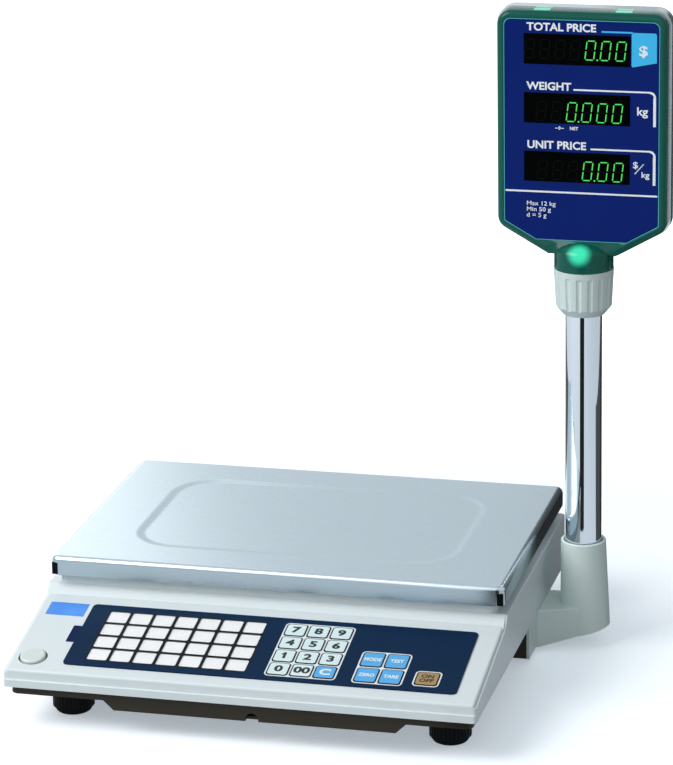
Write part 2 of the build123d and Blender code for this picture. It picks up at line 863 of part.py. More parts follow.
with BuildPart() as key_circuit:
    with BuildSketch(deck.offset(circuit_top - board_thickness)):
        with Locations((window_x, window_y)):
            Rectangle(window_width + circuit_margin, window_depth + circuit_margin)
    extrude(amount=board_thickness)
save(key_circuit, "key_circuit")

with BuildPart() as key_domes:
    with BuildSketch(deck.offset(circuit_top)):
        for label, x, y, size_x, size_y in key_plan:
            with Locations((x, y)):
                Circle(dome_radius)
    extrude(amount=dome_top - circuit_top, taper=12)
save(key_domes, "key_domes")

for label, x, y, size_x, size_y in key_plan:
    with BuildPart() as key:
        with BuildSketch(deck.offset(key_foot)):
            with Locations((x, y)):
                RectangleRounded(size_x, size_y, key_corner)
        extrude(amount=key_top - key_foot)
        fillet(key.faces().sort_by(Axis(deck.origin, deck.z_dir))[-1].edges(), key_lift / 2)
    save(key, label)

# ================================================================ spirit level and badge
level_plane = Plane(origin=deck.from_local_coords((level_x, level_y, 0)), x_dir=(1, 0, 0), z_dir=deck.z_dir)
level_section = Plane(origin=level_plane.origin, x_dir=(1, 0, 0), z_dir=-level_plane.y_dir)
level_axis = Axis(level_plane.origin, level_plane.z_dir)

with BuildPart() as level_cup:
    with BuildSketch(level_section):
        with BuildLine():
            Polyline(
                (cup_radius, -level_groove),
                (cup_radius - level_wall, -level_groove),
                (cup_radius - level_wall, -vial_depth),
                (0, -vial_depth),
                (0, -vial_depth - level_wall),
                (cup_radius, -vial_depth - level_wall),
                close=True,
            )
        make_face()
    revolve(axis=level_axis)
save(level_cup, "level_cup")

with BuildPart() as level_vial:
    with BuildSketch(level_plane.offset(-vial_depth)):
        Circle(vial_radius)
    extrude(amount=vial_depth + vial_rise)
    fillet(level_vial.faces().sort_by(level_axis)[-1].edges(), vial_round)
save(level_vial, "level_vial")

with BuildPart() as deck_badge:
    with BuildSketch(deck.offset(-badge_thickness)):
        with Locations((badge_x, badge_y)):
            Rectangle(badge_width, badge_height)
    extrude(amount=badge_thickness)
save(deck_badge, "deck_badge")

# ================================================================ pole bracket
arm_outline = [
    (arm_inner, arm_front_y),
    (arm_edge, arm_front_y),
    (pole_x, pole_y - arm_front_tip),
    (pole_x, pole_y + arm_front_tip),
    (arm_edge, pole_y + arm_rear),
    (arm_inner, pole_y + arm_rear),
]
arm_end = pole_x + socket_lean + socket_bottom_radius

with BuildPart() as pole_bracket:
    # the arm, with a cheek forwards along the side of the case
    with BuildSketch(Plane.XY.offset(arm_bottom)):
        with BuildLine():
            Polyline(*arm_outline, close=True)
        make_face()
        with Locations(((cheek_left + cheek_right) / 2, arm_front_y - cheek_length / 2)):
            Rectangle(cheek_right - cheek_left, cheek_length + 2 * arm_round)
    extrude(amount=arm_top - arm_bottom)
    # room for the pan and the skirt above it
    with BuildSketch(Plane.XY.offset(arm_under)):
        with Locations((arm_edge / 2, pole_y)):
            Rectangle(arm_edge, 4 * arm_length)
    extrude(amount=case_bottom, mode=Mode.SUBTRACT)
    with BuildSketch(Plane.XY.offset(pan_bottom)):
        with Locations((cheek_left / 2, pole_y)):
            Rectangle(cheek_left, 4 * arm_length)
    extrude(amount=case_bottom, mode=Mode.SUBTRACT)
    arm_ledge_edges = pole_bracket.faces().sort_by(Axis.Z)[-1].edges().sort_by(Axis.Y)
    fillet([arm_ledge_edges[0], arm_ledge_edges[-1]], arm_round)
    # tapered socket, wider to the right at its foot
    with BuildSketch(Plane.XY.offset(socket_bottom)):
        with Locations((pole_x + socket_lean, pole_y)):
            Circle(socket_bottom_radius)
    with BuildSketch(Plane.XY.offset(socket_top)):
        with Locations((pole_x, pole_y)):
            Circle(socket_top_radius)
    loft()
    fillet(pole_bracket.faces().sort_by(Axis.Z)[-1].edges(), socket_round)
    # the underside rises from the case to the far side of the socket
    with BuildSketch(Plane.XZ.offset(-pole_y - 2 * arm_length)):
        with BuildLine():
            Polyline(
                (arm_edge, arm_bottom),
                (arm_end, arm_bottom + arm_rise),
                (arm_end, 0),
                (arm_edge, 0),
                close=True,
            )
        make_face()
    extrude(amount=4 * arm_length, mode=Mode.SUBTRACT)
    # bore for the pole, its mouth, and the hollow below it
    with BuildSketch(Plane.XY.offset(pole_foot)):
        with Locations((pole_x, pole_y)):
            Circle(bracket_bore)
    extrude(amount=socket_top, mode=Mode.SUBTRACT)
    with BuildSketch(Plane.XY.offset(socket_top - socket_mouth_depth)):
        with Locations((pole_x, pole_y)):
            Circle(socket_mouth_radius)
    extrude(amount=socket_mouth_depth, mode=Mode.SUBTRACT)
    with BuildSketch(Plane.XY):
        with Locations((pole_x, pole_y)):
            Circle(pole_radius - pole_wall - arm_wall / 2)
    extrude(amount=pole_foot, mode=Mode.SUBTRACT)
    # cable channel along the underside, and the hole up into the pan
    channel_width = 4 * cable_radius
    channel_length = pole_x - cable_entry_x
    with BuildSketch(Plane.XY):
        with Locations(((pole_x + cable_entry_x) / 2, pole_y)):
            SlotCenterToCenter(channel_length, 2 * channel_width)
    extrude(amount=pan_bottom - arm_wall, mode=Mode.SUBTRACT)
    with BuildSketch(Plane.XY):
        with Locations((cable_entry_x, pole_y)):
            Circle(2 * cable_radius)
        with Locations(*bracket_screws_at):
            Circle(bracket_screw_radius + shaft_clearance)
    extrude(amount=case_bottom, mode=Mode.SUBTRACT)
    # pockets for the heads of the four screws
    with BuildSketch(Plane.XY):
        with Locations(*bracket_screws_at):
            Circle(bracket_pocket)
    extrude(amount=pan_bottom - arm_wall, mode=Mode.SUBTRACT)
save(pole_bracket, "pole_bracket")

with BuildPart() as bracket_screws:
    with BuildSketch(Plane.XY.offset(pan_bottom - arm_wall - bracket_screw_head)):
        with Locations(*bracket_screws_at):
            Circle(bracket_screw_head)
    extrude(amount=bracket_screw_head)
    with BuildSketch(Plane.XY.offset(pan_bottom - arm_wall)):
        with Locations(*bracket_screws_at):
            Circle(bracket_screw_radius)
    extrude(amount=arm_wall + pan_wall + bracket_nut_height)
    with BuildSketch(Plane.XY.offset(pan_floor)):
        with Locations(*bracket_screws_at):
            RegularPolygon(bracket_nut_radius, 6)
    extrude(amount=bracket_nut_height)
save(bracket_screws, "bracket_screws")

with BuildPart() as pole:
    with BuildSketch(Plane.XY.offset(pole_foot)):
        with Locations((pole_x, pole_y)):
            Circle(pole_radius)
            Circle(pole_radius - pole_wall, mode=Mode.SUBTRACT)
    extrude(amount=pole_top - pole_foot)
save(pole, "pole")

# ================================================================ display head
pole_axis = Axis((pole_x, pole_y, 0), (0, 0, 1))
board_face = board_thickness / 2
nut_tilt = atan((nut_radius - nut_low_radius) / (nut_height - nut_chamfer))


def neck_body(shrink):
    """Solid of the neck below and inside the head, drawn in by shrink."""
    radius = neck_radius - shrink
    crown = neck_crown - neck_shoulder - shrink
    with BuildPart() as neck:
        with BuildSketch(head_plane):
            with BuildLine():
                Polyline(
                    (0, neck_shoulder + crown),
                    (0, neck_bottom),
                    (radius, neck_bottom),
                    (radius, neck_shoulder),
                )
                ThreePointArc(
                    (radius, neck_shoulder),
                    (radius * cos(radians(45)), neck_shoulder + crown * sin(radians(45))),
                    (0, neck_shoulder + crown),
                )
            make_face()
        revolve(axis=pole_axis)
    return neck.part


with BuildSketch() as head_face:
    with BuildLine():
        Polyline(
            (-head_half_width, head_top),
            (head_half_width, head_top),
            (head_half_width, head_side_low),
            (head_low_half, head_low),
            (-head_low_half, head_low),
            (-head_half_width, head_side_low),
            close=True,
        )
    make_face()
    fillet(head_face.vertices().sort_by(Axis.Y)[2:], head_corner)

with BuildSketch() as overlay_face:
    add(head_face.sketch)
    offset(amount=-overlay_inset)
    with Locations((0, overlay_low - head_half_width)):
        Rectangle(2 * head_half_width, 2 * head_half_width, mode=Mode.SUBTRACT)
    with Locations((0, neck_shoulder)):
        Ellipse(neck_radius - 2.0, neck_crown - neck_shoulder, mode=Mode.SUBTRACT)

with BuildPart() as head_front_shell:
    with BuildSketch(head_plane):
        add(head_face.sketch)
    extrude(amount=head_front_depth)
    fillet(head_front_shell.faces().sort_by(Axis.Y)[0].edges(), head_round)
    add(neck_body(0))
    with BuildSketch(head_plane):
        add(head_face.sketch)
        offset(amount=-head_wall)
    extrude(amount=head_front_depth - head_wall, mode=Mode.SUBTRACT)
    add(neck_body(head_wall), mode=Mode.SUBTRACT)
    split(bisect_by=head_plane, keep=Keep.TOP)
    with BuildSketch(head_plane.offset(head_front_depth - overlay_thickness)):
        add(overlay_face.sketch)
    extrude(amount=overlay_thickness, mode=Mode.SUBTRACT)
    with BuildSketch(head_plane):
        with Locations(*glass_places):
            Rectangle(glass_width, glass_height)
    extrude(amount=head_front_depth, mode=Mode.SUBTRACT)
save(head_front_shell, "head_front_shell")

rear_glass_places = [(-x, z) for x, z in glass_places]
board_post_x = display_board_width / 2 - board_post_inset
post_places = [
    (-board_post_x, display_board_low + board_post_low),
    (board_post_x, display_board_low + board_post_low),
    (-board_post_x, display_board_high - board_post_high),
    (board_post_x, display_board_high - board_post_high),
]

with BuildPart() as head_rear_shell:
    with BuildSketch(head_plane):
        add(head_face.sketch)
        offset(amount=head_rim)
    extrude(amount=-head_rear_depth)
    fillet(head_rear_shell.faces().sort_by(Axis.Y)[-1].edges(), head_round)
    add(neck_body(0))
    with BuildSketch(head_plane):
        add(head_face.sketch)
        offset(amount=-head_wall)
    extrude(amount=head_wall - head_rear_depth, mode=Mode.SUBTRACT)
    add(neck_body(head_wall), mode=Mode.SUBTRACT)
    split(bisect_by=head_plane, keep=Keep.BOTTOM)
    with BuildSketch(head_plane.offset(-board_face)):
        with Locations(*post_places):
            Circle(board_post_radius)
    extrude(amount=head_wall + board_face - head_rear_depth)
    with BuildSketch(head_plane.offset(overlay_thickness - head_rear_depth)):
        add(overlay_face.sketch)
    extrude(amount=-overlay_thickness, mode=Mode.SUBTRACT)
    with BuildSketch(head_plane.offset(-board_face)):
        with Locations(*rear_glass_places):
            Rectangle(glass_width, glass_height)
    extrude(amount=-head_rear_depth, mode=Mode.SUBTRACT)
save(head_rear_shell, "head_rear_shell")

with BuildPart() as front_overlay:
    with BuildSketch(head_plane.offset(head_front_depth - overlay_thickness)):
        add(overlay_face.sketch)
    extrude(amount=overlay_thickness)
save(front_overlay, "front_overlay")

with BuildPart() as rear_overlay:
    with BuildSketch(head_plane.offset(overlay_thickness - head_rear_depth)):
        add(overlay_face.sketch)
    extrude(amount=-overlay_thickness)
save(rear_overlay, "rear_overlay")

with BuildPart() as display_board:
    with BuildSketch(head_plane.offset(-board_face)):
        with Locations((0, (display_board_high + display_board_low) / 2)):
            Rectangle(display_board_width, display_board_high - display_board_low)
        with Locations((0, (display_board_low + cable_top + connector_size / 2) / 2)):
            Rectangle(connector_size, display_board_low - cable_top)
    extrude(amount=board_thickness)
    with BuildSketch(Plane.XY.offset(cable_top + body_clearance)):
        with Locations((pole_x, pole_y)):
            Rectangle(connector_size, connector_size)
    extrude(amount=connector_size / 2)
save(display_board, "display_board")

with BuildPart() as display_modules:
    with BuildSketch(head_plane.offset(board_face)):
        with Locations(*glass_places):
            Rectangle(glass_width - 2 * seat_clearance, glass_height - 2 * seat_clearance)
    extrude(amount=head_front_depth - overlay_thickness - seat_clearance - board_face)
    with BuildSketch(head_plane.offset(-board_face)):
        with Locations(*rear_glass_places):
            Rectangle(glass_width - 2 * seat_clearance, glass_height - 2 * seat_clearance)
    extrude(amount=board_face + overlay_thickness + seat_clearance - head_rear_depth)
save(display_modules, "display_modules")

collet_bottom = nut_bottom + nut_ledge + body_clearance
collet_shelf = pole_top + body_clearance

with BuildPart() as neck_collet:
    with BuildSketch(Plane.XY.offset(collet_bottom)):
        with Locations((pole_x, pole_y)):
            Circle(collet_thread_radius)
    extrude(amount=neck_bottom - collet_bottom)
    with BuildSketch(Plane.XY.offset(neck_bottom)):
        with Locations((pole_x, pole_y)):
            Circle(neck_radius - head_wall - seat_clearance / 2)
    extrude(amount=collet_shelf + collet_lip - neck_bottom)
    with BuildSketch(Plane.XY.offset(collet_bottom)):
        with Locations((pole_x, pole_y)):
            Circle(pole_radius + shaft_clearance)
    extrude(amount=collet_shelf - collet_bottom, mode=Mode.SUBTRACT)
    with BuildSketch(Plane.XY.offset(collet_shelf)):
        with Locations((pole_x, pole_y)):
            Circle(collet_eye)
    extrude(amount=collet_lip, mode=Mode.SUBTRACT)
save(neck_collet, "neck_collet")

with BuildPart() as collar_nut:
    with BuildSketch(head_plane):
        with BuildLine():
            Polyline(
                (pole_radius + body_clearance, nut_bottom),
                (nut_foot_radius, nut_bottom),
                (nut_low_radius, nut_bottom + nut_chamfer),
                (nut_radius, nut_top),
                (collet_thread_radius + shaft_clearance, nut_top),
                (collet_thread_radius + shaft_clearance, nut_bottom + nut_ledge),
                (pole_radius + body_clearance, nut_bottom + nut_ledge),
                close=True,
            )
        make_face()
    revolve(axis=pole_axis)
    for flute in range(nut_flutes):
        turn = radians(360 * flute / nut_flutes)
        reach = nut_low_radius + flute_radius - flute_depth
        flute_plane = Plane(
            origin=(pole_x + reach * cos(turn), pole_y + reach * sin(turn), nut_bottom + nut_chamfer),
            z_dir=(cos(turn) * sin(nut_tilt), sin(turn) * sin(nut_tilt), cos(nut_tilt)),
        )
        with BuildSketch(flute_plane.offset(-nut_chamfer)):
            Circle(flute_radius)
        extrude(amount=nut_height - nut_band, mode=Mode.SUBTRACT)
save(collar_nut, "collar_nut")

# ================================================================ electronics and cable
cable_route = [
    (pole_x, pole_y, cable_top),
    (pole_x, pole_y, cable_low_z),
    (cable_entry_x, pole_y, cable_low_z),
    (cable_entry_x, pole_y, cable_run_z),
    (cable_aisle_x, pole_y, cable_run_z),
    (cable_aisle_x, main_board_y, cable_run_z),
    (main_board_x + main_board_width / 2 + plug_size / 6, main_board_y, cable_run_z),
]
cable_bends = [15, 12, 12, 20, 20]

with BuildPart() as display_cable:
    with BuildLine():
        FilletPolyline(*cable_route, radius=cable_bends)
    with BuildSketch(Plane(origin=cable_route[0], z_dir=(0, 0, -1))):
        Circle(cable_radius)
    sweep()
save(display_cable, "display_cable")

with BuildPart() as main_board:
    with BuildSketch(Plane.XY.offset(main_board_z)):
        with Locations((main_board_x, main_board_y)):
            Rectangle(main_board_width, main_board_depth)
    extrude(amount=board_thickness)
    with BuildSketch(Plane.XY.offset(well_floor)):
        with Locations((main_board_x, main_board_y)):
            with GridLocations(standoff_span_x, standoff_span_y, 2, 2):
                Circle(standoff_radius)
    extrude(amount=standoff_height)
    with BuildSketch(Plane.XY.offset(main_board_z + board_thickness)):
        with Locations((main_board_x + main_board_width / 2 - plug_size / 3, main_board_y)):
            Rectangle(plug_size, plug_size)
        with Locations((main_board_x - chip_shift, main_board_y)):
            Rectangle(chip_size, chip_size)
        with Locations((main_board_x + capacitor_shift, main_board_y + capacitor_shift)):
            Rectangle(capacitor_width, capacitor_length)
    extrude(amount=board_part_height)
save(main_board, "main_board")

with BuildPart() as battery:
    with BuildSketch(Plane.XY.offset(well_floor)):
        with Locations((battery_x, battery_y)):
            RectangleRounded(battery_length, battery_breadth, battery_corner)
    extrude(amount=battery_height)
save(battery, "battery")

with BuildPart() as transformer:
    with BuildSketch(Plane.XY.offset(well_floor)):
        with Locations((transformer_x, transformer_y)):
            Rectangle(transformer_length, transformer_breadth)
    extrude(amount=transformer_height)
save(transformer, "transformer")

inlet_plane = Plane(origin=(inlet_x, roof_rear, inlet_z), x_dir=(-1, 0, 0), z_dir=(0, 1, 0))

with BuildPart() as mains_inlet:
    with BuildSketch(inlet_plane):
        RectangleRounded(inlet_width + 2 * inlet_flange, inlet_height + 2 * inlet_flange, inlet_flange)
    extrude(amount=skirt_step)
    with BuildSketch(inlet_plane):
        Rectangle(inlet_width, inlet_height)
    extrude(amount=-inlet_depth)
    with BuildSketch(inlet_plane.offset(skirt_step)):
        RectangleRounded(inlet_width - 2 * inlet_wall, inlet_height - 2 * inlet_wall, inlet_wall)
    extrude(amount=inlet_floor - inlet_depth, mode=Mode.SUBTRACT)
    with BuildSketch(inlet_plane.offset(inlet_wall - inlet_depth)):
        with Locations((-pin_pitch, 0), (0, pin_stagger), (pin_pitch, 0)):
            Rectangle(pin_width, pin_depth)
    extrude(amount=pin_length)
save(mains_inlet, "mains_inlet")
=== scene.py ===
import bpy
from math import cos, pi, radians, sin
from mathutils import Matrix, Vector


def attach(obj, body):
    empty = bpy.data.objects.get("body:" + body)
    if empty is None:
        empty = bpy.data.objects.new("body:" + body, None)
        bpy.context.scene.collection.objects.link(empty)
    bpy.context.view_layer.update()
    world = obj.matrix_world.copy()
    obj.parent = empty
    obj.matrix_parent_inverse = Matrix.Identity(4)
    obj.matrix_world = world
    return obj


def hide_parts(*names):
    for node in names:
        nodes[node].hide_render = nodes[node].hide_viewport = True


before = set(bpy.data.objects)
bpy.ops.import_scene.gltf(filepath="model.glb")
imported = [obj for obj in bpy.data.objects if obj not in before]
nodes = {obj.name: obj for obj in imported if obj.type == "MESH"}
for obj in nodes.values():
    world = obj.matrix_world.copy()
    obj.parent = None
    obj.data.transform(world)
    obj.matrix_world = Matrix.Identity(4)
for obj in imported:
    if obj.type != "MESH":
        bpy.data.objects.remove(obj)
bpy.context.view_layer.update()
bpy.ops.object.select_all(action="DESELECT")
print("frame loaded,", len(nodes), "nodes")

# ---- shared helpers
cutDepth = 0.003  # how far a cutter reaches, more than any film is thick
flatPrint = 0.00006  # a print or a face laid on a key or the deck
letters = dict(capShare=0.73, thick=0.00003, curve=4)


def paint(code, alpha=1.0):
    # sRGB hex to linear
    out = []
    for i in (0, 2, 4):
        c = int(code[i:i + 2], 16) / 255
        out.append(c / 12.92 if c <= 0.04045 else ((c + 0.055) / 1.055) ** 2.4)
    return (*out, alpha)


def active():
    return bpy.context.view_layer.objects.active


def pickOnly(pieces):
    # these pieces alone are selected, the first of them active
    bpy.ops.object.select_all(action="DESELECT")
    for piece in pieces:
        piece.select_set(True)
    bpy.context.view_layer.objects.active = pieces[0]


def applyPlace(piece):
    pickOnly([piece])
    bpy.ops.object.transform_apply(location=True, rotation=True, scale=True)


def standOn(piece, matrix):
    # a flat-made piece goes to its place on the deck or the head
    piece.matrix_world = matrix @ piece.matrix_world
    applyPlace(piece)
    return piece


def modify(piece, kind, **settings):
    pickOnly([piece])
    modifier = piece.modifiers.new(kind.title(), kind)
    for key, value in settings.items():
        setattr(modifier, key, value)
    bpy.ops.object.modifier_apply(modifier=modifier.name)
    return piece


def joinAll(pieces, name):
    pickOnly(pieces)
    if len(pieces) > 1:
        bpy.ops.object.join()
    pieces[0].name = name
    pieces[0].data.name = name
    return pieces[0]


def outline(name, x, y, width, height, corner, bottom, segments=5):
    # one flat face with its corners bevelled in edit mode
    bpy.ops.object.select_all(action="DESELECT")
    bpy.ops.mesh.primitive_plane_add(size=1, location=(x, y, bottom))
    piece = active()
    piece.name = name
    piece.scale = (width, height, 1)
    applyPlace(piece)
    if corner > 0:
        bpy.ops.object.mode_set(mode="EDIT")
        bpy.ops.mesh.select_all(action="SELECT")
        bpy.ops.mesh.bevel(offset=corner, segments=segments, affect="VERTICES")
        bpy.ops.object.mode_set(mode="OBJECT")
    return piece


def raiseFace(piece, thick):
    bpy.ops.object.mode_set(mode="EDIT")
    bpy.ops.mesh.select_all(action="SELECT")
    bpy.ops.mesh.extrude_region_move(TRANSFORM_OT_translate={"value": (0, 0, thick)})
    bpy.ops.mesh.select_all(action="SELECT")
    bpy.ops.mesh.normals_make_consistent(inside=False)
    bpy.ops.object.mode_set(mode="OBJECT")
    return piece


def plate(name, x, y, width, height, corner, bottom, thick, segments=5):
    return raiseFace(outline(name, x, y, width, height, corner, bottom, segments), thick)


def trim(piece, at, facing):
    # cuts off what lies beyond a line
    bpy.ops.object.mode_set(mode="EDIT")
    bpy.ops.mesh.select_all(action="SELECT")
    bpy.ops.mesh.bisect(plane_co=at, plane_no=facing, use_fill=True, clear_outer=True)
    bpy.ops.object.mode_set(mode="OBJECT")
    return piece


def pickFaces(piece, facing):
    # leaves edit mode open with only the faces that look up (1) or down (-1)
    bpy.ops.object.mode_set(mode="EDIT")
    bpy.ops.mesh.select_mode(type="FACE")
    bpy.ops.mesh.select_all(action="DESELECT")
    bpy.ops.object.mode_set(mode="OBJECT")
    for face in piece.data.polygons:
        face.select = face.normal.z * facing > 0.99
    bpy.ops.object.mode_set(mode="EDIT")


def cutOut(piece, cutters):
    cutter = joinAll(cutters, "cutter")
    modify(piece, "BOOLEAN", operation="DIFFERENCE", object=cutter, solver="EXACT")
    bpy.data.objects.remove(cutter)
    return piece


def lettering(name, text, x, y, bottom, look):
    # text made a mesh; height is that of a capital letter
    bpy.ops.object.select_all(action="DESELECT")
    bpy.ops.object.text_add(location=(0, 0, 0))
    piece = active()
    piece.name = name
    words = piece.data
    words.body = text
    words.size = look["height"] / letters["capShare"]
    words.align_x = look.get("align", "CENTER")
    words.align_y = look.get("rise", "CENTER")
    words.offset = look.get("weight", 0)
    words.extrude = letters["thick"]
    words.resolution_u = letters["curve"]
    words.space_line = look.get("leading", 1)
    bpy.ops.object.convert(target="MESH")
    piece = active()
    piece.name = name
    piece.scale = (look.get("stretch", 1), 1, 1)
    piece.location = (x, y, bottom + letters["thick"])
    applyPlace(piece)
    return piece


def finishPiece(piece, finish, body):
    piece.data.materials.clear()
    piece.data.materials.append(made[finish])
    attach(piece, body)
    return piece


# ---- finishes
def setSockets(node, values):
    for socket, value in values.items():
        node.inputs[socket].default_value = value


def addNode(tree, kind, values=None, **settings):
    # a node with its own settings, then the constants on its sockets
    node = tree.nodes.new(kind)
    for key, value in settings.items():
        setattr(node, key, value)
    setSockets(node, values or {})
    return node


def surface(name, look):
    # one Principled finish with mottled colour, uneven gloss and a fine grain
    material = bpy.data.materials.new(name)
    material.use_nodes = True
    tree = material.node_tree
    link = tree.links.new
    shader = tree.nodes["Principled BSDF"]
    coords = addNode(tree, "ShaderNodeTexCoord")
    mapping = addNode(tree, "ShaderNodeMapping", {"Scale": look.get("stretch", (1, 1, 1))})
    cloud = addNode(tree, "ShaderNodeTexNoise", {"Scale": look.get("cloud", 14), "Detail": 3})
    grain = addNode(tree, "ShaderNodeTexNoise", {"Scale": look.get("grain", 900), "Detail": 4})
    tones = addNode(tree, "ShaderNodeMix",
                    {6: paint(look["color"]), 7: paint(look.get("tone", look["color"]))}, data_type="RGBA")
    gloss = addNode(tree, "ShaderNodeMapRange", {"From Min": 0.3, "From Max": 0.7,
                                                 "To Min": look["rough"][0], "To Max": look["rough"][1]})
    bump = addNode(tree, "ShaderNodeBump", {"Strength": look.get("bump", 0.05), "Distance": 0.0001})
    link(coords.outputs["Object"], mapping.inputs["Vector"])
    link(coords.outputs["Object"], cloud.inputs["Vector"])
    link(mapping.outputs["Vector"], grain.inputs["Vector"])
    link(cloud.outputs["Fac"], tones.inputs[0])
    link(tones.outputs[2], shader.inputs["Base Color"])
    link(grain.outputs["Fac"], gloss.inputs["Value"])
    link(gloss.outputs["Result"], shader.inputs["Roughness"])
    link(grain.outputs["Fac"], bump.inputs["Height"])
    link(bump.outputs["Normal"], shader.inputs["Normal"])
    setSockets(shader, {"Metallic": look.get("metal", 0), "IOR": 1.46,
                        "Specular IOR Level": look.get("specular", 0.5),
                        "Coat Weight": look.get("coat", 0), "Coat Roughness": 0.08,
                        "Alpha": look.get("alpha", 1)})
    # emission: real light in the display's lit digits, painted light on the head's mint edges, tabs and crown
    if "glow" in look:
        setSockets(shader, {"Emission Color": paint(look["glow"]), "Emission Strength": look["glowStrength"]})
    if "glowAt" in look:
        # a painted highlight: mint emission round one spot on the neck's crown, fading to a faint painted
        # glow over the rest of the shell
        spot = addNode(tree, "ShaderNodeVectorMath", {1: look["glowAt"]}, operation="DISTANCE")
        fade = addNode(tree, "ShaderNodeMapRange",
                       {"From Min": look["glowCore"], "From Max": look["glowReach"],
                        "To Min": look["glowStrength"], "To Max": look["glowRest"]},
                       interpolation_type="SMOOTHSTEP")
        link(coords.outputs["Object"], spot.inputs[0])
        link(spot.outputs["Value"], fade.inputs["Value"])
        link(fade.outputs["Result"], shader.inputs["Emission Strength"])
    return material


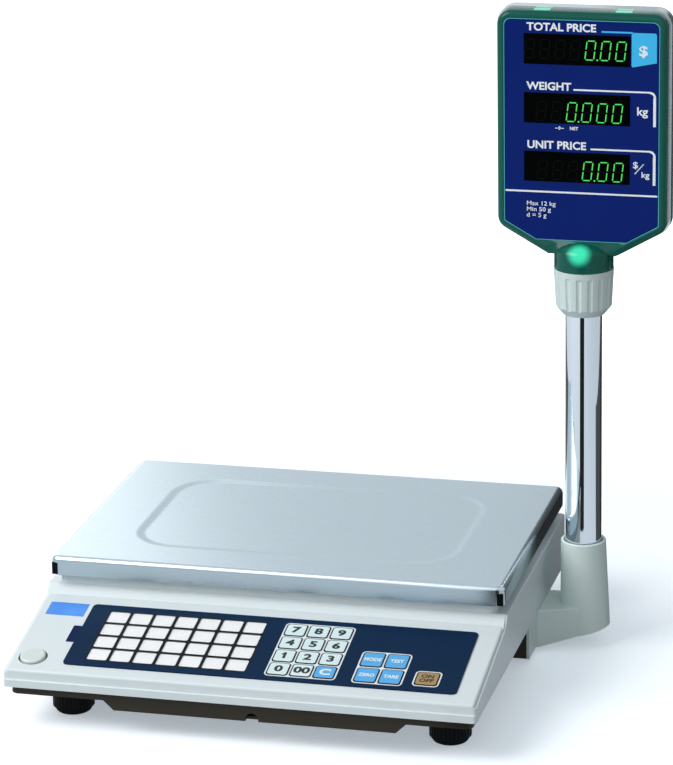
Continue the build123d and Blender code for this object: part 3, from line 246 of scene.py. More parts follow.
finishes = {
    "cover": dict(color="dce7e9", tone="e4edef", rough=(0.26, 0.36), grain=1400, bump=0.04, coat=0.05,
                  specular=0.35),
    "pan": dict(color="29261e", tone="343026", rough=(0.42, 0.6), grain=700, bump=0.12, specular=0.3),
    "zinc": dict(color="a8adb2", tone="c0c4c8", rough=(0.25, 0.4), grain=500, metal=1),
    "castPlate": dict(color="9aa0a4", tone="b4b8bb", rough=(0.4, 0.6), grain=300, metal=1, bump=0.25),
    "cellAlloy": dict(color="c4c8cc", tone="d2d5d8", rough=(0.2, 0.34), stretch=(8, 1, 1), grain=400,
                      metal=1),
    "bufferRubber": dict(color="1a1a1a", tone="252525", rough=(0.6, 0.8), grain=500, bump=0.2),
    "traySteel": dict(color="cbd8df", tone="d2dee4", rough=(0.25, 0.3), stretch=(4, 260, 260), grain=9,
                      bump=0.0015, metal=1, cloud=3),
    # a darker copy of the tray steel for the steep skirt faces: painted shade, with smoother gloss and finer
    # grain
    "skirtSteelShaded": dict(color="b4c3cb", tone="bac8cf", rough=(0.18, 0.22), stretch=(4, 90, 90), grain=9,
                       bump=0.001, metal=1, cloud=3),
    "panelFilm": dict(color="062544", tone="0a2a4a", rough=(0.32, 0.44), grain=1600, bump=0.05,
                      specular=0.06),
    "blackPrint": dict(color="06080b", tone="0c0f13", rough=(0.3, 0.42), grain=1600, bump=0.04,
                       specular=0.1),
    "whitePrint": dict(color="eef3f5", tone="e6ecef", rough=(0.34, 0.46), grain=1600, bump=0.04,
                       specular=0.2),
    "clearFilm": dict(color="ffffff", tone="fafcfd", rough=(0.18, 0.3), grain=1600, bump=0.04, alpha=0.12,
                      specular=0.25),
    "labelPaper": dict(color="fcfdfe", tone="ffffff", rough=(0.55, 0.7), grain=1200, bump=0.08),
    # the level's cup is dark grey: partly its own colour, partly painted shade of the groove round the vial
    "levelCup": dict(color="565e5d", tone="626a69", rough=(0.4, 0.5), grain=900, specular=0.2),
    # mint line at the films' edge: its glow is painted light caught in the moulding's edge
    "filmEdge": dict(color="4aa9b0", tone="5ab6bc", rough=(0.2, 0.3), grain=500, glow="48c8c0",
                     glowStrength=0.12, specular=0.2),
    "labelTab": dict(color="031b4a", tone="062150", rough=(0.4, 0.5), grain=1200, bump=0.05, specular=0.08),
    "board": dict(color="1f4d31", tone="2b6440", rough=(0.3, 0.45), grain=400, bump=0.15),
    "domeSteel": dict(color="c0c4c8", tone="d0d4d8", rough=(0.12, 0.22), grain=300, metal=1),
    "vialLiquid": dict(color="d6dfdd", tone="e0e8e6", rough=(0.04, 0.08), grain=60, bump=0.01, coat=0.3,
                       specular=0.4),
    "badge": dict(color="4a92ee", tone="5a9ff6", rough=(0.25, 0.35), grain=1200, bump=0.04, specular=0.2),
    "bracket": dict(color="dbeae6", tone="e2efec", rough=(0.32, 0.42), grain=1200, bump=0.05),
    "chrome": dict(color="dde5ec", tone="e6ecf2", rough=(0.02, 0.04), grain=200, bump=0.01, metal=1),
    # the head's teal shell, with a painted mint highlight on the neck's crown and a faint painted glow
    # elsewhere
    "headTeal": dict(color="034a42", tone="06574e", rough=(0.1, 0.18), grain=500, bump=0.02, coat=0.05,
                     specular=0.2, glow="45f2bc", glowStrength=0.85, glowAt=(0.2278, 0.0705, 0.3482),
                     glowCore=0.00375, glowReach=0.0125, glowRest=0.015),
    "headSilver": dict(color="e0e7ea", tone="e8eef0", rough=(0.16, 0.22), grain=700, bump=0.02, metal=0.75),
    "headFilm": dict(color="021e6c", tone="042374", rough=(0.14, 0.22), grain=1400, bump=0.02, specular=0.1),
    "windowBlack": dict(color="010202", tone="020303", rough=(0.1, 0.16), grain=1400, bump=0.01,
                        specular=0.02),
    "collar": dict(color="ccdcda", tone="d8e5e3", rough=(0.3, 0.4), grain=1200, bump=0.04),
    "batteryCase": dict(color="2c2f34", tone="383c42", rough=(0.45, 0.6), grain=500, bump=0.1),
    "ironStack": dict(color="4e5256", tone="606468", rough=(0.4, 0.55), stretch=(1, 1, 30), grain=60,
                      bump=0.3),
    "inletBlack": dict(color="141414", tone="1e1e1e", rough=(0.35, 0.5), grain=800, bump=0.08),
    "cableJacket": dict(color="1c1c1c", tone="262626", rough=(0.45, 0.6), grain=600, bump=0.08),
    "footBlack": dict(color="0b0d10", tone="131518", rough=(0.4, 0.55), grain=700, bump=0.12, specular=0.12),
    "soleRubber": dict(color="08090b", tone="101113", rough=(0.55, 0.75), grain=500, bump=0.25, specular=0.1),
    "keyEdge": dict(color="0a0d10", tone="11151a", rough=(0.3, 0.42), grain=1400, bump=0.04, specular=0.12),
    "keyPale": dict(color="daf1f2", tone="e4f6f7", rough=(0.3, 0.42), grain=1400, bump=0.05, specular=0.2),
    "keyBlue": dict(color="58aeea", tone="66b9f2", rough=(0.3, 0.42), grain=1400, bump=0.05, specular=0.2),
    "keyTan": dict(color="a98c5a", tone="b3976a", rough=(0.3, 0.42), grain=1400, bump=0.05, specular=0.2),
    "inkBlack": dict(color="101214", tone="191c1f", rough=(0.4, 0.5), grain=1400, bump=0.03),
    "inkWhite": dict(color="f4f8fb", tone="ecf2f6", rough=(0.4, 0.5), grain=1400, bump=0.03),
    "inkSky": dict(color="33bdf5", tone="42c5fa", rough=(0.3, 0.4), grain=1400, bump=0.03),
    "litGreen": dict(color="1a5c2c", rough=(0.3, 0.4), grain=900, glow="46e858", glowStrength=0.9),
    "dimGreen": dict(color="060a07", tone="080c09", rough=(0.3, 0.4), grain=900, bump=0.01, specular=0.05),
    # mint tabs on the head's top; their glow is painted light through the translucent plastic
    "mintEdge": dict(color="45b894", tone="6fe2c0", rough=(0.12, 0.2), grain=500, coat=0.4, glow="3ff0b0",
                     glowStrength=0.28, specular=0.3),
}
made = {name: surface(name, look) for name, look in finishes.items()}
print("finishes made,", len(made))

nodeFinish = {
    "upper_case": "cover", "base_pan": "pan", "case_screws": "zinc", "load_cell_spacer": "castPlate",
    "load_cell": "cellAlloy", "load_cell_screws": "zinc", "tray_carrier": "castPlate",
    "carrier_screws": "zinc", "overload_stops": "zinc", "tray_buffers": "bufferRubber",
    "weighing_tray": "traySteel", "keypad_overlay": "panelFilm", "preset_window": "clearFilm",
    "label_sheet": "labelPaper", "key_circuit": "board", "key_domes": "domeSteel", "level_cup": "levelCup",
    "level_vial": "vialLiquid", "deck_badge": "badge", "pole_bracket": "bracket", "bracket_screws": "zinc",
    "pole": "chrome", "head_front_shell": "headTeal", "head_rear_shell": "headSilver",
    "front_overlay": "headFilm", "rear_overlay": "headFilm", "display_board": "board",
    "display_modules": "windowBlack", "neck_collet": "collar", "collar_nut": "collar",
    "main_board": "board", "battery": "batteryCase", "transformer": "ironStack",
    "mains_inlet": "inletBlack", "display_cable": "cableJacket",
}
manyAlike = {"foot_wheel": "footBlack", "foot_sole": "soleRubber", "key_": "keyEdge"}
for name, node in nodes.items():
    alike = [finish for start, finish in manyAlike.items() if name.startswith(start)]
    node.data.materials.clear()
    node.data.materials.append(made[nodeFinish.get(name) or alike[0]])

# ---- where the deck and the head lie
deck = dict(front=-0.18525, height=0.0508, slope=11.6, panel=0.0011, keyTop=0.0015)
deckPlace = (Matrix.Translation((0, deck["front"], deck["height"]))
             @ Matrix.Rotation(radians(deck["slope"]), 4, "X"))
head = dict(x=0.228, y=0.0938, front=0.013, rear=0.017)
upright = Matrix.Rotation(radians(90), 4, "X")
headPlace = Matrix.Translation((head["x"], head["y"], 0)) @ upright
headBack = (Matrix.Translation((head["x"], head["y"] + head["rear"] - head["front"], 0))
            @ Matrix.Rotation(pi, 4, "Z") @ upright)

# ---- preset film over the label sheet: a printed grid with clear fields
preset = dict(columns=7, rows=4, pitchX=0.0193, pitchY=0.0186, x=-0.0648, y=0.0573, line=0.0025,
              corner=0.0016, rim=0.0024, bottom=0.0006, top=0.00112, clearLow=0.0002, clearThick=0.00016)
fieldSize = (preset["pitchX"] - preset["line"], preset["pitchY"] - preset["line"], preset["corner"])
fieldSpots = [
    (preset["x"] + (column - (preset["columns"] - 1) / 2) * preset["pitchX"],
     preset["y"] + (row - (preset["rows"] - 1) / 2) * preset["pitchY"])
    for row in range(preset["rows"]) for column in range(preset["columns"])
]
grid = plate("presetGrid", preset["x"], preset["y"], preset["columns"] * preset["pitchX"],
             preset["rows"] * preset["pitchY"], preset["rim"], preset["bottom"],
             preset["top"] - preset["bottom"])
cutOut(grid, [plate("field", x, y, *fieldSize, 0, cutDepth) for x, y in fieldSpots])
finishPiece(standOn(grid, deckPlace), "blackPrint", "base")
fields = joinAll([plate("field", x, y, *fieldSize, preset["top"] - preset["clearLow"], preset["clearThick"])
                  for x, y in fieldSpots], "presetFields")
finishPiece(standOn(fields, deckPlace), "clearFilm", "base")
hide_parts("preset_window")
print("preset film done")

# ---- keys: a printed face and a legend on each, with a white surround on the panel
pad = dict(x=0.04703, y=0.0568, pitch=0.0191, key=0.0174)
function = dict(x=0.10998, y=0.0401, pitchX=0.020, pitchY=0.0224, keyX=0.0182, keyY=0.0204)
power = dict(x=0.14908, y=0.0302, key=0.0186)
keyShape = dict(rim=0.0009, corner=0.0024)
whiteLine = dict(margin=0.0015, gap=0.0003, low=0.0003, thick=0.00036)
digitInk = dict(height=0.0082, stretch=1.18, weight=0.00045)
wordInk = dict(height=0.0044, stretch=0.84, weight=0.00018)
powerInk = dict(height=0.0046, stretch=1.06, weight=0.00022, leading=0.95)
oneFlag = dict(x=-0.00135, y=0.00265, length=0.0030, width=0.0013, slant=-52)
keyInk = {"keyPale": "inkBlack", "keyBlue": "inkWhite", "keyTan": "inkBlack"}

keys = []
for place, label in enumerate(["7", "8", "9", "4", "5", "6", "1", "2", "3", "0", "00", "clear"]):
    clear = label == "clear"
    keys.append(dict(name="key_" + label, text="C" if clear else label,
                     x=pad["x"] + (place % 3 - 1) * pad["pitch"],
                     y=pad["y"] + (1.5 - place // 3) * pad["pitch"],
                     width=pad["key"], depth=pad["key"], face="keyBlue" if clear else "keyPale",
                     look=digitInk))
for place, label in enumerate(["mode", "test", "zero", "tare"]):
    keys.append(dict(name="key_" + label, text=label.upper(),
                     x=function["x"] + (place % 2 - 0.5) * function["pitchX"],
                     y=function["y"] + (0.5 - place // 2) * function["pitchY"],
                     width=function["keyX"], depth=function["keyY"], face="keyBlue", look=wordInk))
keys.append(dict(name="key_power", text="ON\nOFF", x=power["x"], y=power["y"], width=power["key"],
                 depth=power["key"], face="keyTan", look=powerInk))

for key in keys:
    face = plate(key["name"] + "_face", key["x"], key["y"], key["width"] - 2 * keyShape["rim"],
                 key["depth"] - 2 * keyShape["rim"], keyShape["corner"] - keyShape["rim"] / 2,
                 deck["keyTop"], flatPrint)
    finishPiece(standOn(face, deckPlace), key["face"], key["name"])
    legend = lettering(key["name"] + "_legend", key["text"], key["x"], key["y"], deck["keyTop"] + flatPrint,
                       key["look"])
    if key["text"] == "1":
        # the slanted stroke at the figure's head
        flag = plate("flag", 0, 0, oneFlag["width"], oneFlag["length"], 0, deck["keyTop"] + flatPrint,
                     flatPrint)
        flag.data.transform(Matrix.Translation((key["x"] + oneFlag["x"], key["y"] + oneFlag["y"], 0))
                            @ Matrix.Rotation(radians(oneFlag["slant"]), 4, "Z"))
        legend = joinAll([legend, flag], legend.name)
    finishPiece(standOn(legend, deckPlace), keyInk[key["face"]], key["name"])


def surround(name, group):
    # a white block behind the keys, cut open for each
    lowX, highX = min(k["x"] - k["width"] / 2 for k in group), max(k["x"] + k["width"] / 2 for k in group)
    lowY, highY = min(k["y"] - k["depth"] / 2 for k in group), max(k["y"] + k["depth"] / 2 for k in group)
    block = plate(name, (lowX + highX) / 2, (lowY + highY) / 2, highX - lowX + 2 * whiteLine["margin"],
                  highY - lowY + 2 * whiteLine["margin"], keyShape["corner"] + whiteLine["margin"],
                  deck["panel"] - whiteLine["low"], whiteLine["thick"])
    cutOut(block, [plate("hole", k["x"], k["y"], k["width"] + 2 * whiteLine["gap"],
                         k["depth"] + 2 * whiteLine["gap"], keyShape["corner"] + whiteLine["gap"],
                         0, cutDepth) for k in group])
    finishPiece(standOn(block, deckPlace), "whitePrint", "base")


surround("padSurround", keys[:12])
surround("functionSurround", keys[12:16])
surround("powerSurround", keys[16:])
print("keys done")

# ---- label tab
tab = dict(x=-0.15255, y=0.0573, width=0.0071, height=0.0246, corner=0.0008, bottom=0.0004)
tabFace = plate("labelTab", tab["x"], tab["y"], tab["width"], tab["height"], tab["corner"], tab["bottom"],
                flatPrint)
finishPiece(standOn(tabFace, deckPlace), "labelTab", "preset_labels")
print("deck done")

# ---- weighing tray: one pressed sheet with rolled edges and a shallow dished field
tray = dict(x=0.0016, y=0.05775, width=0.384, depth=0.258, top=0.106495, skirt=0.0162, fold=0.0045,
            corner=0.007, sheet=0.001, flat=0.0008, bends=8, smooth=35, steep=0.3)
dish = dict(width=0.284, depth=0.180, corner=0.042, band=0.009, drop=0.0009, steps=12)
cornerSlot = dict(reach=0.0063, width=0.0022)
# size and place of the dark sheets of painted shade behind the corner slots
slotShadeSheet = dict(inX=0.0034, inY=0.0016, width=0.0054, depth=0.0018, corner=0.0008, lift=0.0003, short=0.0016)
trayBottom = tray["top"] - tray["skirt"]
trayEnds = [(side, end) for side in (-1, 1) for end in (-1, 1)]

shell = plate("weighingTray", tray["x"], tray["y"], tray["width"], tray["depth"], tray["corner"],
              trayBottom, tray["skirt"] - tray["fold"], segments=9)
pickFaces(shell, 1)
for step in range(tray["bends"]):
    before, after = (pi / 2 * k / tray["bends"] for k in (step, step + 1))
    bpy.ops.mesh.inset(thickness=tray["fold"] * (cos(before) - cos(after)),
                       depth=tray["fold"] * (sin(after) - sin(before)))
bpy.ops.mesh.inset(thickness=tray["flat"], depth=0)
bpy.ops.mesh.delete(type="ONLY_FACE")
bpy.ops.object.mode_set(mode="OBJECT")
press = outline("dish", tray["x"], tray["y"], dish["width"], dish["depth"], dish["corner"], tray["top"],
                segments=9)
pickFaces(press, 1)
bpy.ops.mesh.inset(thickness=tray["flat"], depth=0)
for step in range(dish["steps"]):
    before, after = (dish["drop"] * (cos(pi * k / dish["steps"]) - 1) / 2 for k in (step, step + 1))
    bpy.ops.mesh.inset(thickness=dish["band"] / dish["steps"], depth=after - before)
bpy.ops.mesh.inset(thickness=tray["flat"], depth=0)
bpy.ops.object.mode_set(mode="OBJECT")
shell = joinAll([shell, press], "weighingTray")
bpy.ops.object.mode_set(mode="EDIT")
bpy.ops.mesh.select_all(action="DESELECT")
bpy.ops.mesh.select_mode(type="EDGE")
bpy.ops.mesh.select_non_manifold(use_wire=False, use_multi_face=False, use_non_contiguous=False,
                                 use_verts=False)
bpy.ops.mesh.bridge_edge_loops()
bpy.ops.object.mode_set(mode="OBJECT")
pickFaces(shell, -1)
bpy.ops.mesh.delete(type="ONLY_FACE")
bpy.ops.object.mode_set(mode="OBJECT")
modify(shell, "SOLIDIFY", thickness=tray["sheet"], offset=-1, use_even_offset=True)
cutOut(shell, [plate("slot", tray["x"] + side * tray["width"] / 2, tray["y"] + end * tray["depth"] / 2,
                     2 * cornerSlot["reach"], 2 * cornerSlot["width"], 0, trayBottom - tray["sheet"],
                     tray["skirt"] - tray["fold"]) for side, end in trayEnds])
bpy.ops.object.shade_smooth_by_angle(angle=radians(tray["smooth"]))
finishPiece(shell, "traySteel", "tray")
# steep skirt faces take the darker steel copy: painted shade on the tray's sides
shell.data.materials.append(made["skirtSteelShaded"])
for face in shell.data.polygons:
    if abs(face.normal.z) < tray["steep"]:
        face.material_index = 1
# dark sheets just behind the corner slots: painted shade for the darkness under the tray seen through them
shadeSheets = [plate("slotShadeSheet", tray["x"] + side * (tray["width"] / 2 - slotShadeSheet["inX"]),
               tray["y"] + end * (tray["depth"] / 2 - slotShadeSheet["inY"]), slotShadeSheet["width"], slotShadeSheet["depth"],
               slotShadeSheet["corner"], trayBottom + slotShadeSheet["lift"],
               tray["skirt"] - tray["fold"] - slotShadeSheet["short"]) for side, end in trayEnds]
finishPiece(joinAll(shadeSheets, "trayCornerShade"), "blackPrint", "tray")
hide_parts("weighing_tray")
print("tray done")

# ---- display head: its housing, a copy with a flatter crown at the neck
neck = dict(shoulder=0.347, radius=0.0245, crown=0.015, wall=0.0025, keep=0.6, near=0.07, smooth=22)
housing = bpy.data.objects.new("headHousing", nodes["head_front_shell"].data.copy())
bpy.context.scene.collection.objects.link(housing)
pickOnly([housing])
bpy.ops.object.mode_set(mode="EDIT")
bpy.ops.mesh.select_all(action="SELECT")
bpy.ops.mesh.remove_doubles(threshold=0.00001)
bpy.ops.object.mode_set(mode="OBJECT")
for point in housing.data.vertices:
    # only the crown itself moves, its outside and its inside
    across = Vector((point.co.x - head["x"], point.co.y - head["y"])).length
    rise = point.co.z - neck["shoulder"]
    fits = [(across / (neck["radius"] - wall)) ** 2 + (rise / (neck["crown"] - wall)) ** 2
            for wall in (0, neck["wall"])]
    if rise > 0 and min(abs(fit - 1) for fit in fits) < neck["near"]:
        point.co.z = neck["shoulder"] + rise * neck["keep"]
bpy.ops.object.shade_smooth_by_angle(angle=radians(neck["smooth"]))
finishPiece(housing, "headTeal", "display_head")
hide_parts("head_front_shell")

# ---- edge of the head's films, neck film and top catches
film = dict(low=0.357, high=0.5404, half=0.0636, corner=0.0054, footX=0.06694, footZ=0.37374,
            slantX=0.494, slantZ=0.869)
filmEdge = dict(width=0.0005, low=0.0002, thick=0.00026, cutLow=0.001, cutThick=0.002)
neckFilm = dict(width=0.041, low=0.357, high=0.3626, thick=0.00004)
catch = dict(spread=0.0335, back=0.0047, width=0.0135, depth=0.0072, corner=0.0012, bottom=0.5468,
             thick=0.0006)


def filmOutline(name, grow, bottom, thick):
    # the film's shape: rounded at the top, cut at a slant at the foot
    sheet = outline(name, 0, (film["low"] + film["high"]) / 2, 2 * (film["half"] + grow),
                    film["high"] - film["low"] + 2 * grow, film["corner"], bottom)
    for side in (-1, 1):
        trim(sheet, (side * (film["footX"] + film["slantX"] * grow), film["footZ"] - film["slantZ"] * grow,
                     bottom), (side * film["slantX"], -film["slantZ"], 0))
    return raiseFace(sheet, thick)


# a thin mint line round each film, glowing with painted light for the moulding's lit edge
for side, place in (("front", headPlace), ("rear", headBack)):
    edge = filmOutline(side + "FilmEdge", filmEdge["width"], head["front"] - filmEdge["low"],
                       filmEdge["thick"])
    cutOut(edge, [filmOutline("inner", 0, head["front"] - filmEdge["cutLow"], filmEdge["cutThick"])])
    finishPiece(standOn(edge, place), "filmEdge", "display_head")
foot = plate("neckFilm", 0, (neckFilm["low"] + neckFilm["high"]) / 2, neckFilm["width"],
             neckFilm["high"] - neckFilm["low"], 0, head["front"], neckFilm["thick"])
finishPiece(standOn(foot, headPlace), "headFilm", "display_head")
# two mint tabs on the top, their glow painted light
catches = [plate("catch", head["x"] + side * catch["spread"], head["y"] - catch["back"], catch["width"],
                 catch["depth"], catch["corner"], catch["bottom"], catch["thick"]) for side in (-1, 1)]
finishPiece(joinAll(catches, "topCatches"), "mintEdge", "display_head")
print("housing done")

# ---- windows, digits and printing, the same on both sides of the head
window = dict(x=-0.0036, width=0.0876, height=0.0253, pitch=0.0489, top=0.5163, corner=0.0006,
              thick=0.00005)
digit = dict(height=0.0156, width=0.0072, bar=0.0009, point=0.00045, tip=0.000405, gap=0.0004, slant=0.12,
             pitch=0.0125, lit=0.00004, dim=0.00002)
dot = dict(size=0.0013, corner=0.0004, left=0.0006)
rows = [dict(text="0.00", places=7, drop=0.0, right=0.0360, title="TOTAL PRICE", lineFrom=0.0164),
        dict(text="0.000", places=6, drop=0.0026, right=0.0332, title="WEIGHT", lineFrom=-0.0065),
        dict(text="0.00", places=6, drop=0.0026, right=0.0339, title="UNIT PRICE", lineFrom=0.0076)]
barSpots = {"a": (0, 1, 0), "b": (1, 0.5, 1), "c": (1, -0.5, 1), "d": (0, -1, 0), "e": (-1, -0.5, 1),
            "f": (-1, 0.5, 1), "g": (0, 0, 0)}
title = dict(indent=0.0025, above=0.0026,
             ink=dict(height=0.0065, align="LEFT", rise="BOTTOM_BASELINE", weight=0.00026, stretch=1.06))
stroke = dict(thick=0.00005, width=0.0014)
priceLine = dict(above=0.0030, reach=0.042, corner=0.0003)
priceTag = dict(x=0.05135, z=0.51775, width=0.0205, height=0.0285, corner=0.0018, cutX=0.0411, cutZ=0.5035,
                facing=(0.20, -0.98, 0))
hook = dict(above=0.0033, reach=0.0562, corner=0.0005, sideX=0.0601, sideDrop=0.0163, sideWidth=0.0022,
            sideLength=0.0240, sideCorner=0.0003, bendDrop=0.0043, bendRadius=0.0050, bendWidth=0.0018,
            bendPoints=40)
units = [dict(name="Currency", text="$", x=0.0507, z=0.5168, height=0.0086, weight=0.00028, stretch=1.2),
         dict(name="Kilogram", text="kg", x=0.0500, z=0.4672, height=0.0070, weight=0.0002, stretch=1.05),
         dict(name="PerDollar", text="$", x=0.0447, z=0.4225, height=0.0056, weight=0.0001, stretch=1.1),
         dict(name="PerKilogram", text="kg", x=0.0528, z=0.4145, height=0.0050, weight=0.00012, stretch=1.1)]
netMark = dict(z=0.4510, netX=-0.0060, zeroX=-0.0180, dashX=(-0.0206, -0.0154), dashLength=0.0020,
               dashWidth=0.0006, ink=dict(height=0.0027, weight=0.00012))
slash = dict(x=0.0478, z=0.4195, width=0.0007, length=0.0112, turn=-40.6)
rule = dict(z=0.3972, length=0.126, width=0.0015, corner=0.0006)
limits = dict(text="Max 12 kg\nMin 50 g\nd = 5 g", x=-0.0455, z=0.3895,
              ink=dict(height=0.0037, align="LEFT", rise="TOP", weight=0.00004, leading=0.98, stretch=1.15))


def figure(x, z, which, thick):
    # one seven-segment figure, each bar a plate with pointed ends
    strokes = []
    for letter in which:
        across, up, standing = barSpots[letter]
        length = (digit["height"] / 2 if standing else digit["width"]) - digit["point"] - 2 * digit["gap"]
        size = (digit["bar"], length) if standing else (length, digit["bar"])
        strokes.append(plate("bar", across * digit["width"] / 2, up * digit["height"] / 2, *size,
                             digit["tip"], head["front"] + window["thick"], thick, segments=1))
    whole = joinAll(strokes, "figure")
    whole.data.transform(Matrix(((1, digit["slant"], 0, x), (0, 1, 0, z), (0, 0, 1, 0), (0, 0, 0, 1))))
    return whole


def cornerBend(x, z):
    # quarter ring between a hook's two strokes: a circle, inset, its other quarters cut off
    at = (x, z, head["front"])
    bpy.ops.mesh.primitive_circle_add(vertices=hook["bendPoints"], radius=hook["bendRadius"],
                                      fill_type="NGON", location=at)
    bend = active()
    applyPlace(bend)
    bpy.ops.object.mode_set(mode="EDIT")
    bpy.ops.mesh.select_all(action="SELECT")
    bpy.ops.mesh.inset(thickness=hook["bendWidth"])
    bpy.ops.mesh.delete(type="FACE")
    for facing in ((1, 0, 0), (0, 1, 0)):
        bpy.ops.mesh.select_all(action="SELECT")
        bpy.ops.mesh.bisect(plane_co=at, plane_no=facing, clear_inner=True)
    bpy.ops.object.mode_set(mode="OBJECT")
    return raiseFace(bend, stroke["thick"])


def rowFigures(side, number, row, z, place):
    # the text is lit at the right, and the places before it are dim eights
    lit = []
    dim = []
    characters = row["text"].replace(".", "")
    last = window["x"] + row["right"]
    for spot in range(row["places"]):
        x = last - spot * digit["pitch"]
        if spot < len(characters):
            lit.append(figure(x, z, "abcdef", digit["lit"]))
            dim.append(figure(x, z, "g", digit["dim"]))
        else:
            dim.append(figure(x, z, "abcdefg", digit["dim"]))
    pointX = last - (len(characters) - row["text"].index(".") - 0.5) * digit["pitch"]
    lit.append(plate("dot", pointX - dot["left"], z - digit["height"] / 2, dot["size"], dot["size"],
                     dot["corner"], head["front"] + window["thick"], digit["lit"]))
    lit = joinAll(lit, side + "Digits" + number)
    finishPiece(standOn(lit, place), "litGreen", "display_head")
    dim = joinAll(dim, side + "Ghosts" + number)
    finishPiece(standOn(dim, place), "dimGreen", "display_head")


def printFilm(piece, place, finish="inkWhite"):
    finishPiece(standOn(piece, place), finish, "display_head")


def headFace(side, place):
    front = head["front"]
    for count, row in enumerate(rows):
        number = str(count + 1)
        z = window["top"] - count * window["pitch"]
        top = z + window["height"] / 2
        glass = plate(side + "Window" + number, window["x"], z, window["width"], window["height"],
                      window["corner"], front, window["thick"])
        finishPiece(standOn(glass, place), "windowBlack", "display_head")
        rowFigures(side, number, row, z - row["drop"], place)
        printFilm(lettering(side + "Title" + number, row["title"],
                            window["x"] - window["width"] / 2 + title["indent"], top + title["above"], front,
                            title["ink"]), place)
        start = row["lineFrom"]
        if count == 0:
            # a sky-blue line that runs to the tag behind the currency sign
            line = plate("line", (start + priceLine["reach"]) / 2, top + priceLine["above"],
                         priceLine["reach"] - start, stroke["width"], priceLine["corner"], front,
                         stroke["thick"])
            tag = plate("tag", priceTag["x"], priceTag["z"], priceTag["width"], priceTag["height"],
                        priceTag["corner"], front, stroke["thick"])
            trim(tag, (priceTag["cutX"], priceTag["cutZ"], front), priceTag["facing"])
            printFilm(joinAll([line, tag], side + "PriceTag"), place, "inkSky")
        else:
            # a white line that turns down at the right
            level = top + hook["above"]
            parts = [plate("line", (start + hook["reach"]) / 2, level, hook["reach"] - start,
                           stroke["width"], hook["corner"], front, stroke["thick"]),
                     plate("line", hook["sideX"], level - hook["sideDrop"], hook["sideWidth"],
                           hook["sideLength"], hook["sideCorner"], front, stroke["thick"]),
                     cornerBend(hook["reach"], level - hook["bendDrop"])]
            printFilm(joinAll(parts, side + "Line" + number), place)
    for unit in units:
        printFilm(lettering(side + unit["name"], unit["text"], unit["x"], unit["z"], front + stroke["thick"],
                            unit), place)
    marks = [lettering("net", "NET", netMark["netX"], netMark["z"], front, netMark["ink"]),
             lettering("zero", "0", netMark["zeroX"], netMark["z"], front, netMark["ink"])]
    marks += [plate("dash", x, netMark["z"], netMark["dashLength"], netMark["dashWidth"], 0, front, flatPrint)
              for x in netMark["dashX"]]
    printFilm(joinAll(marks, side + "SmallMarks"), place)
    per = plate("slash", 0, 0, slash["width"], slash["length"], 0, front, flatPrint)
    per.data.transform(Matrix.Translation((slash["x"], slash["z"], 0))
                       @ Matrix.Rotation(radians(slash["turn"]), 4, "Z"))
    across = plate("rule", 0, rule["z"], rule["length"], rule["width"], rule["corner"], front,
                   stroke["thick"])
    printFilm(joinAll([per, across], side + "Rule"), place)
    printFilm(lettering(side + "Limits", limits["text"], limits["x"], limits["z"], front, limits["ink"]),
              place)


headFace("front", headPlace)
headFace("rear", headBack)
print("head done")

# ---- floor: pale, keeps the shadow and fades to plain white away from the scale
floorShade = dict(size=24, hidden=(0.45, 0.47, 0.48, 1), seen=(0.92, 0.94, 0.96, 1), rough=0.9, specular=0.1,
                  fadeFrom=0.45, fadeTo=1.1, near=0.42, far=1.0, mirrored=0.42, lift=(0.82, 0.92, 1.0, 1))
bpy.ops.object.select_all(action="DESELECT")
bpy.ops.mesh.primitive_plane_add(size=floorShade["size"], location=(0, 0, 0))
floor = active()
floor.name = "floor"


def floorFinish():
    material = bpy.data.materials.new("floorPale")
    material.use_nodes = True
    tree = material.node_tree
    link = tree.links.new
    base = tree.nodes["Principled BSDF"]
    setSockets(base, {"Roughness": floorShade["rough"], "Specular IOR Level": floorShade["specular"]})
    rays = addNode(tree, "ShaderNodeLightPath")
    shade = addNode(tree, "ShaderNodeMix", {6: floorShade["hidden"], 7: floorShade["seen"]}, data_type="RGBA")
    coords = addNode(tree, "ShaderNodeTexCoord")
    distance = addNode(tree, "ShaderNodeVectorMath", operation="LENGTH")
    fade = addNode(tree, "ShaderNodeMapRange",
                   {"From Min": floorShade["fadeFrom"], "From Max": floorShade["fadeTo"],
                    "To Min": floorShade["near"], "To Max": floorShade["far"]},
                   interpolation_type="SMOOTHSTEP")
    glossPart = addNode(tree, "ShaderNodeMath", {1: floorShade["mirrored"]}, operation="MULTIPLY")
    cameraPart = addNode(tree, "ShaderNodeMath", operation="MULTIPLY_ADD")
    lift = addNode(tree, "ShaderNodeEmission", {"Color": floorShade["lift"]})
    both = addNode(tree, "ShaderNodeAddShader")
    link(rays.outputs["Is Camera Ray"], shade.inputs[0])
    link(shade.outputs[2], base.inputs["Base Color"])
    link(coords.outputs["Object"], distance.inputs[0])
    link(distance.outputs["Value"], fade.inputs["Value"])
    link(rays.outputs["Is Glossy Ray"], glossPart.inputs[0])
    link(rays.outputs["Is Camera Ray"], cameraPart.inputs[0])
    link(fade.outputs["Result"], cameraPart.inputs[1])
    link(glossPart.outputs[0], cameraPart.inputs[2])
    link(cameraPart.outputs[0], lift.inputs["Strength"])
    link(base.outputs[0], both.inputs[0])
    link(lift.outputs[0], both.inputs[1])
    link(both.outputs[0], tree.nodes["Material Output"].inputs["Surface"])
    return material


floor.data.materials.append(floorFinish())

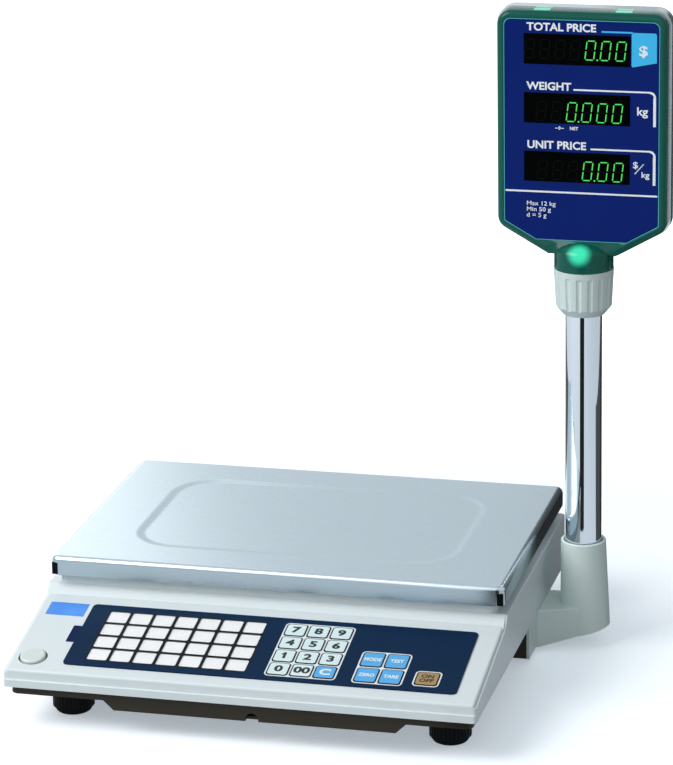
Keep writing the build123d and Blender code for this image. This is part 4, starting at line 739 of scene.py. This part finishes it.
# ---- dark cards that only the metal mirrors
cardLook = bpy.data.materials.new("cardDark")
cardLook.use_nodes = True
setSockets(cardLook.node_tree.nodes["Principled BSDF"], {"Base Color": (0.004, 0.004, 0.004, 1)})
cards = [dict(name="frontCard", at=(0.231, -0.206, 0.127), size=(0.136, 0.25), turn=pi / 2),
         dict(name="sideCard", at=(0.56, 1.2, 0.39), size=(1.02, 0.76), turn=pi / 2),
         dict(name="backCard", at=(0.2, 1.22, 0.0015), size=(1.4, 2.2), turn=0)]
for card in cards:
    bpy.ops.mesh.primitive_plane_add(size=1, location=card["at"], rotation=(card["turn"], 0, 0))
    sheet = active()
    sheet.name = card["name"]
    sheet.scale = (*card["size"], 1)
    sheet.data.materials.append(cardLook)
    sheet.visible_camera = False
    sheet.visible_diffuse = False
    sheet.visible_shadow = False
    sheet.visible_transmission = False

# ---- world: plain light, a brighter one in mirrors, white to the camera
sky = dict(ambient={"Color": (0.86, 0.93, 1.0, 1), "Strength": 0.30},
           mirrored={"Color": (0.88, 0.95, 1.0, 1), "Strength": 0.78},
           seen={"Color": (1, 1, 1, 1), "Strength": 1.0})


def studioWorld():
    world = bpy.data.worlds.new("studio")
    world.use_nodes = True
    tree = world.node_tree
    link = tree.links.new
    ambient = tree.nodes["Background"]
    setSockets(ambient, sky["ambient"])
    mirrored = addNode(tree, "ShaderNodeBackground", sky["mirrored"])
    seen = addNode(tree, "ShaderNodeBackground", sky["seen"])
    rays = addNode(tree, "ShaderNodeLightPath")
    glossMix = addNode(tree, "ShaderNodeMixShader")
    cameraMix = addNode(tree, "ShaderNodeMixShader")
    link(rays.outputs["Is Glossy Ray"], glossMix.inputs[0])
    link(ambient.outputs[0], glossMix.inputs[1])
    link(mirrored.outputs[0], glossMix.inputs[2])
    link(rays.outputs["Is Camera Ray"], cameraMix.inputs[0])
    link(glossMix.outputs[0], cameraMix.inputs[1])
    link(seen.outputs[0], cameraMix.inputs[2])
    link(cameraMix.outputs[0], tree.nodes["World Output"].inputs["Surface"])
    return world


bpy.context.scene.world = studioWorld()

# ---- lamps and camera
lamps = [dict(name="keyLamp", at=(-1.65, -1.33, 2.2), aim=(0, 0, 0.1), size=1.9, power=69),
         dict(name="fillLamp", at=(0.7, -2.6, 1.6), aim=(0.1, 0, 0.2), size=2.4, power=13),
         dict(name="backLamp", at=(-1.7, 2.2, 1.0), aim=(-0.1, 0.05, 0.1), size=1.8, power=8)]
for lamp in lamps:
    bpy.ops.object.light_add(type="AREA", location=lamp["at"])
    light = active()
    light.name = lamp["name"]
    light.data.shape = "SQUARE"
    light.data.size = lamp["size"]
    light.data.energy = lamp["power"]
    light.rotation_euler = (Vector(lamp["aim"]) - Vector(lamp["at"])).to_track_quat("-Z", "Y").to_euler()

lens = dict(at=(0.75998, -2.78605, 1.15304), focal=172.92, sensor=36, far=50, azimuth=14.5, elevation=17.44,
            roll=-1.11)
azimuth, elevation, roll = (radians(lens[turn]) for turn in ("azimuth", "elevation", "roll"))
forward = Vector((-sin(azimuth) * cos(elevation), cos(azimuth) * cos(elevation), -sin(elevation)))
right = forward.cross(Vector((0, 0, 1))).normalized()
up = right.cross(forward)
sideways = right * cos(roll) + up * sin(roll)
upwards = up * cos(roll) - right * sin(roll)
bpy.ops.object.camera_add(location=lens["at"])
camera = active()
camera.matrix_world = (Matrix.Translation(lens["at"])
                       @ Matrix((sideways, upwards, -forward)).transposed().to_4x4())
camera.data.lens = lens["focal"]
camera.data.sensor_width = lens["sensor"]
camera.data.clip_end = lens["far"]
bpy.context.scene.camera = camera
bpy.context.scene.view_settings.view_transform = "Standard"
print("stage done")
